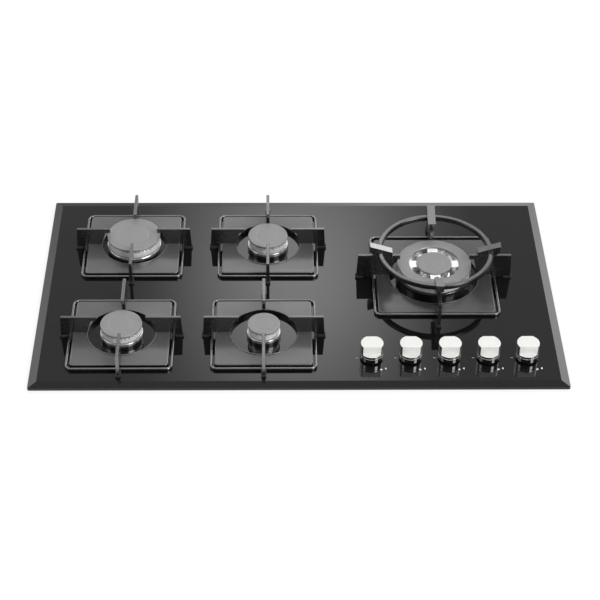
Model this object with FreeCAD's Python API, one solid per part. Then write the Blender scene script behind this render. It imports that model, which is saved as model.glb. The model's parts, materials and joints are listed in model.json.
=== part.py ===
import FreeCAD, Part
import math
import os

os.makedirs("parts", exist_ok=True)
Vector = FreeCAD.Vector

# A gas cooktop that drops into a worktop cut-out. Millimetres, +X to the right, +Y to the wall,
# +Z up. The origin is the middle of the underside of the burner box.

# Glass panel
glass_width = 900.0
glass_depth = 510.0
glass_thickness = 8.0
glass_corner_radius = 3.0
bevel_width = 14.0
bevel_drop = 3.0

# Burner box, a sheet steel tray bonded under the glass by its flange
box_side_inset = 32.0
box_end_inset = 26.0
box_width = glass_width - 2 * box_side_inset
box_depth = glass_depth - 2 * box_end_inset
box_height = 50.0
box_corner_radius = 3.0
box_sheet = 1.0
flange_width = 8.0

# Foam strip between the glass and the worktop
seal_thickness = 3.0
seal_width = 8.0
seal_inset = 10.0

# Places of the burners and knobs
left_column = -298.0
centre_column = -56.0
wok_column = 242.0
front_row = -127.0
rear_row = 116.0
row_stagger = 3.5
wok_row = 31.0
knob_inset = 44.0
last_knob_inset = 34.0
knob_pitch = 65.5
knob_count = 5

# Burner heads: cap radius and height of the cap's top above the glass
auxiliary_radius = 27.75
semi_rapid_radius = 35.5
rapid_radius = 47.5
wok_radius = 65.5
burner_height = 28.0
rapid_height = 30.0
wok_height = 32.0
cap_thickness = 4.0
cap_edge = 1.2
cap_groove_share = 0.57
cap_groove_width = 1.6
cap_groove_depth = 0.4
cap_spigot_depth = 3.0
cap_spigot_wall = 2.5
crown_inset = 1.5
crown_wall = 5.0
crown_plate = 3.0
crown_neck_inset = 2.0
crown_neck_height = 1.5
crown_spigot_depth = 4.0
throat_radius = 6.5
throat_wall = 2.5
throat_depth = 12.0
port_width = 2.2
port_height = 4.5
port_pitch = 7.0
lift_gap = 0.3

# Burner cups
cup_margin = 1.0
cup_rim_height = 11.0
wok_cup_rim_height = 13.0
cup_rim_width = 7.5
cup_rim_edge = 1.5
cup_wall = 2.5
cup_neck_inset = 4.0
cup_floor_level = 34.0
cup_floor = 2.0
glass_hole_gap = 1.0
holder_radius = 13.0
holder_bottom = 14.0
port_boss_radius = 5.5
port_boss_length = 7.0
injector_radius = 4.5
injector_height = 9.0
injector_thread_radius = 2.5
injector_thread_length = 6.0
injector_bore_radius = 0.6

# Double ring of the wok burner
wok_inner_radius = 31.0
wok_hole_radius = 44.0
wok_trough_level = 17.0
wok_bridge_width = 18.0
wok_bridge_drop = 2.5
wok_ring_wall = 3.0
wok_injector_offset = 18.0

# Spark electrodes, behind each head
electrode_gap = 2.5
electrode_angle = 120.0
ceramic_radius = 3.2
ceramic_top = 12.0
ceramic_bottom_level = 24.0
spark_pin_radius = 1.0
spark_pin_top = 17.0
terminal_radius = 1.5
terminal_bottom_level = 12.0
electrode_ear_height = 4.0
electrode_ear_wall = 3.0
electrode_clearance = 0.1
glass_electrode_gap = 1.0

# Drip trays
tray_half = 82.5
tray_hole_radius = 57.5
tray_height = 8.0
wok_tray_half = 102.5
wok_tray_hole_radius = 79.0
wok_tray_height = 4.0
tray_corner_radius = 6.0
tray_edge_radius = 2.0
tray_sheet = 1.2
tray_bead_width = 2.6
tray_bead_height = 1.0

# Pan supports
rod_width = 4.0
rod_height = 4.5
rod_edge = 1.5
frame_gap = 3.5
frame_corner_radius = 12.0
support_height = 43.0
wok_support_height = 50.0
blade_thickness = 5.5
blade_tip_radius = 42.0
wok_blade_tip_radius = 61.0
blade_reach = 101.5
wok_blade_reach = 135.0
blade_flare = 2.5
lip_length = 9.0
lip_depth = 8.0
blade_heel_run = 16.0
blade_clearance = 2.5
blade_edge = 0.7
foot_height = 1.5
foot_length = 10.5
foot_wall = 1.6
foot_lip = 3.0

# Wok ring
ring_outer_radius = 102.0
ring_inner_radius = 93.0
ring_bottom = 54.0
ring_top = 62.0
ring_edge = 1.5
lug_inner_radius = 75.0
lug_outer_radius = 115.0
lug_width = 14.0
lug_inner_top = 60.0
lug_outer_top = 73.0
lug_outer_depth = 13.0
lug_prong_length = 8.0
lug_prong_run = 20.0
lug_slot_gap = 0.4

# Knobs
knob_radius = 19.0
knob_top = 34.0
knob_clearance = 4.0
knob_front_flat = 11.7
knob_rear_flat = 17.0
knob_ledge = 16.7
knob_groove_level = 11.7
knob_groove = 0.9
knob_edge = 0.8
knob_skirt_wall = 3.5
knob_skirt_depth = 4.0
knob_socket_depth = 20.0
knob_hub_radius = 8.0
spindle_radius = 4.0
spindle_flat = 2.8
spindle_bottom_level = 24.0
running_gap = 0.05
knob_seal_radius = 9.5
knob_seal_wall = 2.0
knob_seal_lip = 1.2
glass_spindle_hole_radius = 7.5

# Taps, gas rail and switches
push_travel = 3.5
rail_inset = 22.0
rail_radius = 7.0
rail_wall = 1.5
rail_bend = 8.0
rail_overhang = 15.0
main_pipe_inset = 15.0
pipe_level = 22.0
tap_half_width = 11.0
tap_depth = 14.0
tap_top_level = 32.0
tap_neck_radius = 7.0
tap_neck_height = 9.0
tap_bore_floor = 3.0
saddle_overlap = 3.0
strap_wall = 2.0
strap_width = 12.0
switch_width = 16.0
switch_depth = 6.0
switch_button_height = 1.3
switch_button_radius = 1.8
switch_free_play = 0.3
collar_radius = 7.0
collar_thickness = 2.5
collar_arm_width = 6.0
bracket_width = 16.0
bracket_sheet = 2.0
bracket_foot = 14.0

# Feed pipes
feed_radius = 4.0
feed_wall = 0.8
feed_bend = 12.0
feed_insertion = 5.0
feed_fit = 0.1
first_lane_y = -72.0
lane_pitch = 12.0
raised_level = 34.0
ramp_length = 24.0
wok_pipe_offset = 4.5
wok_port_spacing = 24.0

# Gas inlet and mains entry in the rear wall
inlet_thread_radius = 10.48
inlet_thread_length = 14.0
inlet_bore_radius = 6.5
inlet_nut_radius = 11.8
inlet_nut_length = 7.0
gland_x = 150.0
gland_level = 25.0
gland_radius = 8.0
gland_nut_radius = 11.0
gland_nut_length = 5.0
gland_dome_length = 12.0
gland_bore_radius = 3.6

# Spark generator and leads
generator_x = 133.0
generator_inset = 61.0
generator_width = 70.0
generator_depth = 44.0
generator_height = 24.0
generator_ear = 10.0
generator_corner_radius = 3.0
lead_radius = 2.5
lead_level = 4.0
lead_bend = 6.0
lead_pitch = 8.0
lead_exit = 12.0
loom_width = 5.0
loom_thickness = 1.6
loom_level = 44.0
loom_offset = 15.0
loom_gap = 6.0

# Worktop clamps and screws
clamp_inset = 88.0
clamp_width = 22.0
clamp_sheet = 2.5
clamp_reach = 26.0
clamp_grip_level = 9.0
clamp_top_level = 40.0
screw_radius = 2.0
screw_head_radius = 3.8
screw_head_height = 2.2

glass_bottom = box_height
glass_top = glass_bottom + glass_thickness
box_floor = box_sheet
rail_y = rail_inset - box_depth / 2
main_pipe_x = box_width / 2 - main_pipe_inset
knob_row = knob_inset - box_depth / 2
last_knob_x = box_width / 2 - last_knob_inset
knob_places = [last_knob_x - knob_pitch * place for place in reversed(range(knob_count))]
generator_y = box_depth / 2 - generator_inset
loom_x = generator_x + loom_offset


def burner(name, x, y, cap_radius, height, rim_height=cup_rim_height):
    """The sizes of one burner that its pieces share."""
    return {
        "name": name,
        "x": x,
        "y": y,
        "cap_radius": cap_radius,
        "height": height,
        "rim_height": rim_height,
        "crown_radius": cap_radius - crown_inset,
        "cup_radius": cap_radius + cup_margin,
        "electrode_reach": cap_radius + cup_margin + electrode_gap,
    }


small_burners = [
    burner("front_left", left_column - row_stagger, front_row, semi_rapid_radius, burner_height),
    burner("rear_left", left_column + row_stagger, rear_row, rapid_radius, rapid_height),
    burner("front_centre", centre_column - row_stagger, front_row, auxiliary_radius, burner_height),
    burner("rear_centre", centre_column + row_stagger, rear_row, semi_rapid_radius, burner_height),
]
wok_burner = burner("wok", wok_column, wok_row, wok_radius, wok_height, wok_cup_rim_height)
all_burners = small_burners + [wok_burner]


def electrode_place(head):
    angle = math.radians(electrode_angle)
    return Vector(head["x"] + head["electrode_reach"] * math.cos(angle),
                  head["y"] + head["electrode_reach"] * math.sin(angle), 0)


def block(x0, x1, y0, y1, z0, z1):
    return Part.makeBox(x1 - x0, y1 - y0, z1 - z0, Vector(x0, y0, z0))


def rod(x, y, radius, z0, z1):
    return Part.makeCylinder(radius, z1 - z0, Vector(x, y, z0))


def rod_along(start, end, radius):
    run = end - start
    return Part.makeCylinder(radius, run.Length, start, run)


def tube(x, y, outer, inner, z0, z1):
    return rod(x, y, outer, z0, z1).cut(rod(x, y, inner, z0 - 1, z1 + 1))


def turned(x, y, base, profile):
    """A solid of revolution about a vertical axis, from (radius, height above base) points."""
    points = [Vector(x + radius, y, base + height) for radius, height in profile]
    face = Part.Face(Part.makePolygon(points + points[:1]))
    return face.revolve(Vector(x, y, base), Vector(0, 0, 1), 360)


def rounded_plate(x, y, half_x, half_y, radius, z0, z1):
    corners = [(1, -1, -90), (1, 1, 0), (-1, 1, 90), (-1, -1, 180)]
    edges = []
    last = None
    first = None
    for side_x, side_y, start in corners:
        centre = Vector(x + side_x * (half_x - radius), y + side_y * (half_y - radius), z0)
        spots = [centre + Vector(radius * math.cos(math.radians(start + turn)),
                                 radius * math.sin(math.radians(start + turn)), 0)
                 for turn in (0, 45, 90)]
        if last is None:
            first = spots[0]
        else:
            edges.append(Part.makeLine(last, spots[0]))
        edges.append(Part.Arc(*spots).toShape())
        last = spots[2]
    edges.append(Part.makeLine(last, first))
    return Part.Face(Part.Wire(edges)).extrude(Vector(0, 0, z1 - z0))


def bent_path(points, bend):
    """Straight runs joined by tangent arcs of one radius."""
    edges = []
    start = points[0]
    for before, corner, after in zip(points, points[1:], points[2:]):
        back = (before - corner).normalize()
        ahead = (after - corner).normalize()
        half_turn = (math.pi - back.getAngle(ahead)) / 2
        setback = bend * math.tan(half_turn)
        arc_start = corner + back * setback
        arc_end = corner + ahead * setback
        inward = (back + ahead).normalize()
        middle = corner + inward * (bend / math.cos(half_turn) - bend)
        edges.append(Part.makeLine(start, arc_start))
        edges.append(Part.Arc(arc_start, middle, arc_end).toShape())
        start = arc_end
    edges.append(Part.makeLine(start, points[-1]))
    return Part.Wire(edges)


def swept(points, bend, radius):
    path = bent_path(points, bend)
    section = Part.Wire(Part.makeCircle(radius, points[0], points[1] - points[0]))
    return path.makePipeShell([section], True, False)


def pipe(points, bend, outer, inner):
    return swept(points, bend, outer).cut(swept(points, bend, inner))


def hexagon(x, y, radius, z0, z1):
    points = [Vector(x + radius * math.cos(math.radians(60 * k)),
                     y + radius * math.sin(math.radians(60 * k)), z0) for k in range(7)]
    return Part.Face(Part.makePolygon(points)).extrude(Vector(0, 0, z1 - z0))


def level_edges(shape, level, longer_than=0.0):
    """The edges that lie flat at one height."""
    return [edge for edge in shape.Edges
            if abs(edge.BoundBox.ZMin - level) < 1e-4 and abs(edge.BoundBox.ZMax - level) < 1e-4
            and edge.Length > longer_than]


def turned_about(shape, x, y, angle):
    copy = shape.copy()
    copy.rotate(Vector(x, y, 0), Vector(0, 0, 1), angle)
    return copy


def join(shapes):
    return shapes[0].multiFuse(shapes[1:]).removeSplitter()


def save(name, shape):
    shape.exportStep("parts/" + name + ".step")


def save_group(name, shapes):
    save(name, Part.makeCompound(shapes))


# --- Panel, box and seal -------------------------------------------------------------------


def neck_radius(head):
    """The part of a cup that passes down through the glass."""
    return head["cap_radius"] - cup_neck_inset


def glass_top_piece():
    half_x = glass_width / 2
    half_y = glass_depth / 2
    shoulder = glass_top - bevel_drop
    slab = block(-half_x, half_x, -half_y, half_y, glass_bottom, shoulder)
    rings = []
    for inset, level in ((0.0, shoulder), (bevel_width, glass_top)):
        corner_x = half_x - inset
        corner_y = half_y - inset
        rings.append(Part.makePolygon([Vector(-corner_x, -corner_y, level),
                                       Vector(corner_x, -corner_y, level),
                                       Vector(corner_x, corner_y, level),
                                       Vector(-corner_x, corner_y, level),
                                       Vector(-corner_x, -corner_y, level)]))
    bevel = Part.makeLoft(rings, True, True)
    corners = rounded_plate(0, 0, half_x, half_y, glass_corner_radius, glass_bottom, glass_top)
    panel = join([slab, bevel]).common(corners)
    holes = []
    for head in all_burners:
        hole_radius = neck_radius(head) + glass_hole_gap
        holes.append(rod(head["x"], head["y"], hole_radius, glass_bottom - 1, glass_top + 1))
        place = electrode_place(head)
        hole_radius = ceramic_radius + glass_electrode_gap
        holes.append(rod(place.x, place.y, hole_radius, glass_bottom - 1, glass_top + 1))
    for x in knob_places:
        holes.append(rod(x, knob_row, glass_spindle_hole_radius, glass_bottom - 1, glass_top + 1))
    return panel.cut(holes)


def burner_box():
    half_x = box_width / 2
    half_y = box_depth / 2
    flange_bottom = glass_bottom - box_sheet
    outside = rounded_plate(0, 0, half_x, half_y, box_corner_radius, 0, glass_bottom)
    flange = rounded_plate(0, 0, half_x + flange_width, half_y + flange_width,
                           box_corner_radius + flange_width, flange_bottom, glass_bottom)
    inside = rounded_plate(0, 0, half_x - box_sheet, half_y - box_sheet,
                           box_corner_radius - box_sheet, box_floor, glass_bottom + 1)
    shell = join([outside, flange]).cut(inside)
    rear = Vector(main_pipe_x, half_y - 2 * box_sheet, pipe_level)
    through = Vector(0, 4 * box_sheet, 0)
    holes = [rod_along(rear, rear + through, inlet_bore_radius + rail_wall + feed_fit)]
    entry = Vector(gland_x, half_y - 2 * box_sheet, gland_level)
    holes.append(rod_along(entry, entry + through, gland_radius + feed_fit))
    for x, y in floor_screw_places():
        holes.append(rod(x, y, screw_radius + feed_fit, -1, box_floor + 1))
    return shell.cut(holes)


def worktop_seal():
    half_x = glass_width / 2 - seal_inset
    half_y = glass_depth / 2 - seal_inset
    corner = box_corner_radius + flange_width + seal_width
    bottom = glass_bottom - seal_thickness
    outside = rounded_plate(0, 0, half_x, half_y, corner, bottom, glass_bottom)
    inside = rounded_plate(0, 0, half_x - seal_width, half_y - seal_width,
                           corner - seal_width, bottom - 1, glass_bottom + 1)
    return outside.cut(inside)


# --- Burner heads --------------------------------------------------------------------------


def electrode_ear(head):
    """A lug on the cup that holds the electrode, with its hole."""
    radius = ceramic_radius + electrode_ear_wall
    x = head["x"]
    y = head["y"]
    far = y + head["electrode_reach"]
    top = glass_top + electrode_ear_height
    lug = rod(x, far, radius, glass_top, top)
    web = block(x - radius, x + radius, y + head["cap_radius"] - 1, far, glass_top, top)
    return turned_about(lug.fuse(web), x, y, electrode_angle - 90)


def electrode_hole(head):
    place = electrode_place(head)
    return rod(place.x, place.y, ceramic_radius + electrode_clearance,
               glass_top - 1, glass_top + head["rim_height"] + 1)


def cup_rim(head):
    """The ring of a cup that stands on the glass, rounded at its outer top edge."""
    outer = head["cup_radius"]
    top = glass_top + head["rim_height"]
    rim = tube(head["x"], head["y"], outer, outer - cup_rim_width, glass_top, top)
    outer_edge = [edge for edge in level_edges(rim, top) if edge.BoundBox.XLength > 2 * outer - 1]
    return rim.makeFillet(cup_rim_edge, outer_edge)


def small_cup(head, port_direction):
    """Rim on the glass, neck and floor below it, and the injector holder with its pipe port."""
    x = head["x"]
    y = head["y"]
    neck = neck_radius(head)
    rim = cup_rim(head)
    wall = tube(x, y, neck, neck - cup_wall, cup_floor_level, glass_top + cup_wall)
    floor = rod(x, y, neck, cup_floor_level, cup_floor_level + cup_floor)
    holder = rod(x, y, holder_radius, holder_bottom, cup_floor_level)
    centre = Vector(x, y, pipe_level)
    face = holder_radius + port_boss_length
    boss = rod_along(centre, centre + port_direction * face, port_boss_radius)
    cup = join([rim, wall, floor, holder, boss, electrode_ear(head)])
    bore = rod_along(centre + port_direction * (face - feed_insertion),
                     centre + port_direction * (face + 1), feed_radius + feed_fit)
    gas_way = rod_along(centre, centre + port_direction * face, feed_radius - feed_wall)
    thread = rod(x, y, injector_thread_radius, pipe_level, cup_floor_level + cup_floor + 1)
    return cup.cut([bore, gas_way, thread, electrode_hole(head)])


def wok_cup():
    head = wok_burner
    x = head["x"]
    y = head["y"]
    neck = neck_radius(head)
    rim = cup_rim(head)
    wall = tube(x, y, neck, neck - cup_wall, cup_floor_level, glass_top + cup_wall)
    floor = rod(x, y, neck, cup_floor_level, cup_floor_level + cup_floor)
    half_span = wok_port_spacing / 2 + port_boss_radius
    face = wok_injector_offset + holder_radius
    holder = block(x - holder_radius, x + face, y - half_span, y + half_span,
                   holder_bottom, cup_floor_level)
    cup = join([rim, wall, floor, holder, electrode_ear(head)])
    cuts = [electrode_hole(head)]
    for side in (-1, 1):
        port = Vector(x, y + side * wok_port_spacing / 2, pipe_level)
        cuts.append(rod_along(port + Vector(face - feed_insertion, 0, 0),
                              port + Vector(face + 1, 0, 0), feed_radius + feed_fit))
        cuts.append(rod_along(port, port + Vector(face, 0, 0), feed_radius - feed_wall))
    for place in wok_injector_places():
        cuts.append(rod(place.x, place.y, injector_thread_radius, pipe_level,
                        cup_floor_level + cup_floor + 1))
    return cup.cut(cuts)


def wok_injector_places():
    x = wok_burner["x"]
    y = wok_burner["y"]
    half = wok_port_spacing / 2
    return [Vector(x, y - half, 0), Vector(x + wok_injector_offset, y + half, 0)]


def injector(x, y):
    seat = cup_floor_level + cup_floor
    thread = rod(x, y, injector_thread_radius, seat - injector_thread_length, seat)
    body = hexagon(x, y, injector_radius, seat, seat + injector_height)
    bore = rod(x, y, injector_bore_radius, seat - injector_thread_length - 1, seat + injector_height + 1)
    return join([thread, body]).cut(bore)


def flame_ports(x, y, radius, wall, top):
    """Notches round the top of a wall, evenly spaced."""
    count = int(round(2 * math.pi * radius / port_pitch))
    notch = block(x + radius - wall - 1, x + radius + 1, y - port_width / 2, y + port_width / 2,
                  top - port_height, top + 1)
    return [turned_about(notch, x, y, 360.0 * (index + 0.5) / count) for index in range(count)]


def small_crown(head):
    x = head["x"]
    y = head["y"]
    outer = head["crown_radius"]
    top = head["height"] - cap_thickness
    rim = head["rim_height"]
    neck = outer - crown_neck_inset
    spigot = head["cup_radius"] - cup_rim_width - lift_gap
    plate_bottom = rim - crown_spigot_depth
    throat_outer = throat_radius + throat_wall
    body = turned(x, y, glass_top, [
        (throat_radius, -throat_depth),
        (throat_outer, -throat_depth),
        (throat_outer, plate_bottom),
        (spigot, plate_bottom),
        (spigot, rim),
        (neck, rim),
        (neck, rim + crown_neck_height),
        (outer, rim + crown_neck_height),
        (outer, top),
        (outer - crown_wall, top),
        (outer - crown_wall, plate_bottom + crown_plate),
        (throat_radius, plate_bottom + crown_plate),
    ])
    return body.cut(flame_ports(x, y, outer, crown_wall, glass_top + top))


def cap_profile(outer, top, groove):
    edge = cap_edge
    half = cap_groove_width / 2
    return [
        (0, top - cap_thickness),
        (outer - edge / 2, top - cap_thickness),
        (outer, top - cap_thickness + edge / 2),
        (outer, top - edge),
        (outer - edge * 0.3, top - edge * 0.3),
        (outer - edge, top),
        (groove + half, top),
        (groove, top - cap_groove_depth),
        (groove - half, top),
        (0, top),
    ]


def small_cap(head):
    x = head["x"]
    y = head["y"]
    top = head["height"]
    radius = head["cap_radius"]
    disc = turned(x, y, glass_top, cap_profile(radius, top, radius * cap_groove_share))
    spigot = head["crown_radius"] - crown_wall - lift_gap
    under = glass_top + top - cap_thickness
    ring = tube(x, y, spigot, spigot - cap_spigot_wall, under - cap_spigot_depth, under)
    return join([disc, ring])


def wok_crown():
    """Two flame rings joined by a polished trough with four bridges."""
    head = wok_burner
    x = head["x"]
    y = head["y"]
    outer = head["crown_radius"]
    top = head["height"] - cap_thickness
    rim = head["rim_height"]
    neck = outer - crown_neck_inset
    spigot = head["cup_radius"] - cup_rim_width - lift_gap
    plate_bottom = rim - crown_spigot_depth
    plate_top = plate_bottom + crown_plate
    inner_ring = wok_inner_radius - crown_inset
    trough_outer = wok_hole_radius + crown_inset
    body = turned(x, y, glass_top, [
        (0, plate_bottom),
        (spigot, plate_bottom),
        (spigot, rim),
        (neck, rim),
        (neck, rim + crown_neck_height),
        (outer, rim + crown_neck_height),
        (outer, top),
        (outer - crown_wall, top),
        (outer - crown_wall, plate_top),
        (trough_outer + wok_ring_wall, plate_top),
        (trough_outer + wok_ring_wall, top),
        (trough_outer, top),
        (trough_outer, wok_trough_level),
        (inner_ring, wok_trough_level),
        (inner_ring, top),
        (inner_ring - wok_ring_wall, top),
        (inner_ring - wok_ring_wall, plate_top),
        (0, plate_top),
    ])
    half_bridge = wok_bridge_width / 2
    bridge_top = glass_top + head["height"] - wok_bridge_drop
    bridge = block(x + inner_ring - 1, x + trough_outer + 1, y - half_bridge, y + half_bridge,
                   glass_top + wok_trough_level, bridge_top)
    room = tube(x, y, wok_hole_radius - lift_gap, wok_inner_radius + lift_gap,
                glass_top + top, bridge_top + 1)
    base = tube(x, y, outer, inner_ring - wok_ring_wall, glass_top, glass_top + top)
    bridges = [turned_about(bridge, x, y, 90.0 * quarter).common(room.fuse(base)) for quarter in range(4)]
    throats = []
    for place in wok_injector_places():
        throats.append(tube(place.x, place.y, throat_radius + throat_wall, throat_radius,
                            glass_top - throat_depth, glass_top + plate_bottom + 1))
    crown = join([body] + bridges + throats)
    cuts = flame_ports(x, y, outer, crown_wall, glass_top + top)
    cuts += flame_ports(x, y, inner_ring, wok_ring_wall, glass_top + top)
    for place in wok_injector_places():
        cuts.append(rod(place.x, place.y, throat_radius,
                        glass_top - throat_depth - 1, glass_top + plate_top + 1))
    return crown.cut(cuts)


def wok_outer_cap():
    head = wok_burner
    x = head["x"]
    y = head["y"]
    top = head["height"]
    outer = head["cap_radius"]
    edge = cap_edge
    under = top - cap_thickness
    disc = turned(x, y, glass_top, [
        (wok_hole_radius, under),
        (outer - edge / 2, under),
        (outer, under + edge / 2),
        (outer, top - edge),
        (outer - edge, top),
        (wok_hole_radius + edge, top),
        (wok_hole_radius, top - edge),
    ])
    spigot = head["crown_radius"] - crown_wall - lift_gap
    ring = tube(x, y, spigot, spigot - cap_spigot_wall,
                glass_top + under - cap_spigot_depth, glass_top + under)
    return join([disc, ring])


def wok_inner_cap():
    head = wok_burner
    x = head["x"]
    y = head["y"]
    top = head["height"]
    disc = turned(x, y, glass_top, cap_profile(wok_inner_radius, top, wok_inner_radius * cap_groove_share))
    spigot = wok_inner_radius - crown_inset - wok_ring_wall - lift_gap
    under = glass_top + top - cap_thickness
    ring = tube(x, y, spigot, spigot - cap_spigot_wall, under - cap_spigot_depth, under)
    return join([disc, ring])


def electrode(head):
    x = electrode_place(head).x
    y = electrode_place(head).y
    ceramic = rod(x, y, ceramic_radius, ceramic_bottom_level, glass_top + ceramic_top)
    tip = rod(x, y, spark_pin_radius, glass_top + ceramic_top, glass_top + spark_pin_top)
    terminal = rod(x, y, terminal_radius, terminal_bottom_level, ceramic_bottom_level)
    return join([ceramic, tip, terminal])


# --- Trays, pan supports and wok ring ------------------------------------------------------


def drip_tray(x, y, half, hole_radius, height):
    """A shallow pressed plate, open below, with a rolled bead round its hole."""
    bottom = glass_top
    top = glass_top + height
    plate = rounded_plate(x, y, half, half, tray_corner_radius, bottom, top)
    plate = plate.makeFillet(tray_edge_radius, level_edges(plate, top))
    bead = tube(x, y, hole_radius + tray_bead_width, hole_radius, top - 1, top + tray_bead_height)
    bead = bead.makeFillet(tray_bead_height * 0.6, level_edges(bead, top + tray_bead_height))
    hollow = rounded_plate(x, y, half - tray_sheet, half - tray_sheet, tray_corner_radius - tray_sheet,
                           bottom - 1, top - tray_sheet)
    inside_wall = rod(x, y, hole_radius + tray_sheet, bottom - 1, top)
    hole = rod(x, y, hole_radius, bottom - 2, top + tray_bead_height + 1)
    return join([plate, bead]).cut([hollow.cut(inside_wall), hole])


def blade(x, y, height, tip, reach, frame_inner, skid):
    """One upright arm: a lip over the burner, a raking throat and a heel outside the frame."""
    heel = tip + blade_heel_run
    profile = [
        (tip, height),
        (reach, height),
        (reach + blade_flare, foot_height),
        (frame_inner, foot_height),
        (frame_inner, skid),
        (heel, skid),
        (tip + lip_length, height - lip_depth),
        (tip, height - lip_depth),
    ]
    points = [Vector(x + radius, y - blade_thickness / 2, glass_top + level) for radius, level in profile]
    face = Part.Face(Part.makePolygon(points + points[:1]))
    arm = face.extrude(Vector(0, blade_thickness, 0))
    long_edges = level_edges(arm, glass_top + height, blade_thickness + 1)
    return arm.makeChamfer(blade_edge, long_edges)


def pan_support(x, y, tray, skid, height, tip, reach):
    """A square rod frame round the tray with four blades welded to it."""
    inner = tray + frame_gap
    outer = inner + rod_width
    bottom = glass_top + foot_height
    top = bottom + rod_height
    frame = rounded_plate(x, y, outer, outer, frame_corner_radius, bottom, top)
    window = rounded_plate(x, y, inner, inner, frame_corner_radius - rod_width, bottom - 1, top + 1)
    frame = frame.cut(window)
    frame = frame.makeFillet(rod_edge, level_edges(frame, top))
    arm = blade(x, y, height, tip, reach, inner, skid)
    arms = [turned_about(arm, x, y, 90.0 * quarter) for quarter in range(4)]
    return join([frame] + arms)


def support_feet(x, y, reach):
    """Rubber shoes pushed on under the outer ends of the blades."""
    outer = reach + blade_flare + foot_wall
    inner = reach - foot_length
    half = blade_thickness / 2 + foot_wall
    shoe = block(x + inner, x + outer, y - half, y + half, glass_top, glass_top + foot_height + foot_lip)
    shoe = shoe.makeFillet(foot_wall * 0.6, [edge for edge in shoe.Edges if edge.BoundBox.ZLength > 1])
    slot = block(x + inner - 1, x + reach + blade_flare, y - blade_thickness / 2, y + blade_thickness / 2,
                 glass_top + foot_height, glass_top + foot_height + foot_lip + 1)
    shoe = shoe.cut(slot)
    return [turned_about(shoe, x, y, 90.0 * quarter) for quarter in range(4)]


def ring_lug(x, y):
    """A sloping lug that straddles a blade of the wok support with two prongs."""
    rest = wok_support_height
    profile = [
        (lug_inner_radius, rest - lug_prong_length),
        (lug_inner_radius, lug_inner_top),
        (lug_outer_radius, lug_outer_top),
        (lug_outer_radius, lug_outer_top - lug_outer_depth),
        (lug_inner_radius + lug_prong_run + lug_prong_length, rest),
        (lug_inner_radius + lug_prong_run, rest - lug_prong_length),
    ]
    points = [Vector(x + radius, y - lug_width / 2, glass_top + level) for radius, level in profile]
    face = Part.Face(Part.makePolygon(points + points[:1]))
    body = face.extrude(Vector(0, lug_width, 0))
    half = blade_thickness / 2 + lug_slot_gap
    slot = block(x + lug_inner_radius - 1, x + lug_outer_radius, y - half, y + half,
                 glass_top + rest - lug_prong_length - 1, glass_top + rest)
    return body.cut(slot)


def wok_ring():
    x = wok_burner["x"]
    y = wok_burner["y"]
    ring = turned(x, y, glass_top, [
        (ring_inner_radius, ring_bottom),
        (ring_outer_radius, ring_bottom),
        (ring_outer_radius, ring_top - ring_edge),
        (ring_outer_radius - ring_edge, ring_top),
        (ring_inner_radius + ring_edge, ring_top),
        (ring_inner_radius, ring_top - ring_edge),
    ])
    lug = ring_lug(x, y)
    return join([ring] + [turned_about(lug, x, y, 90.0 * quarter) for quarter in range(4)])


# --- Knobs, spindles and taps --------------------------------------------------------------


def spindle_section(x, radius, z0, z1):
    """A round shaft with one flat on its rear side."""
    shaft = rod(x, knob_row, radius, z0, z1)
    flat = knob_row + spindle_flat + (radius - spindle_radius)
    return shaft.cut(block(x - radius, x + radius, flat, flat + 2 * radius, z0 - 1, z1 + 1))


def knob(x):
    bottom = glass_top + knob_clearance
    top = glass_top + knob_top
    ledge = glass_top + knob_ledge
    body = rod(x, knob_row, knob_radius, bottom, top)
    far = 2 * knob_radius
    front = block(x - far, x + far, knob_row - far, knob_row - knob_front_flat, ledge, top + 1)
    rear = block(x - far, x + far, knob_row + knob_rear_flat, knob_row + far, ledge, top + 1)
    body = body.cut([front, rear])
    body = body.makeFillet(knob_edge, level_edges(body, top))
    skirt_inner = knob_radius - knob_skirt_wall
    skirt_hollow = tube(x, knob_row, skirt_inner, knob_hub_radius, bottom - 1, bottom + knob_skirt_depth)
    hub_recess = push_travel + knob_seal_lip + lift_gap - knob_clearance
    seal_room = rod(x, knob_row, skirt_inner, bottom - 1, bottom + hub_recess)
    groove_level = glass_top + knob_groove_level
    groove = tube(x, knob_row, knob_radius + 1, knob_radius - knob_groove,
                  groove_level, groove_level + knob_groove)
    socket = spindle_section(x, spindle_radius + running_gap, bottom - 1, bottom + knob_socket_depth)
    return body.cut([skirt_hollow, seal_room, groove, socket])


def spindle(x):
    flat_bottom = glass_top
    top = glass_top + knob_clearance + knob_socket_depth - running_gap
    lower = rod(x, knob_row, spindle_radius, spindle_bottom_level, flat_bottom)
    upper = spindle_section(x, spindle_radius, flat_bottom, top)
    return join([lower, upper])


def knob_seal(x):
    """A rubber grommet in the glass round the spindle."""
    sleeve = rod(x, knob_row, glass_spindle_hole_radius, glass_bottom, glass_top)
    lip = rod(x, knob_row, knob_seal_radius, glass_top, glass_top + knob_seal_lip)
    hole = rod(x, knob_row, glass_spindle_hole_radius - knob_seal_wall,
               glass_bottom - 1, glass_top + knob_seal_lip + 1)
    return join([sleeve, lip]).cut(hole)


def tap_outlets(x):
    """Where the feed pipes leave one tap: two for the double ring, one for the others."""
    if x == knob_places[-1]:
        return [x - wok_pipe_offset, x + wok_pipe_offset]
    return [x]


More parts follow.
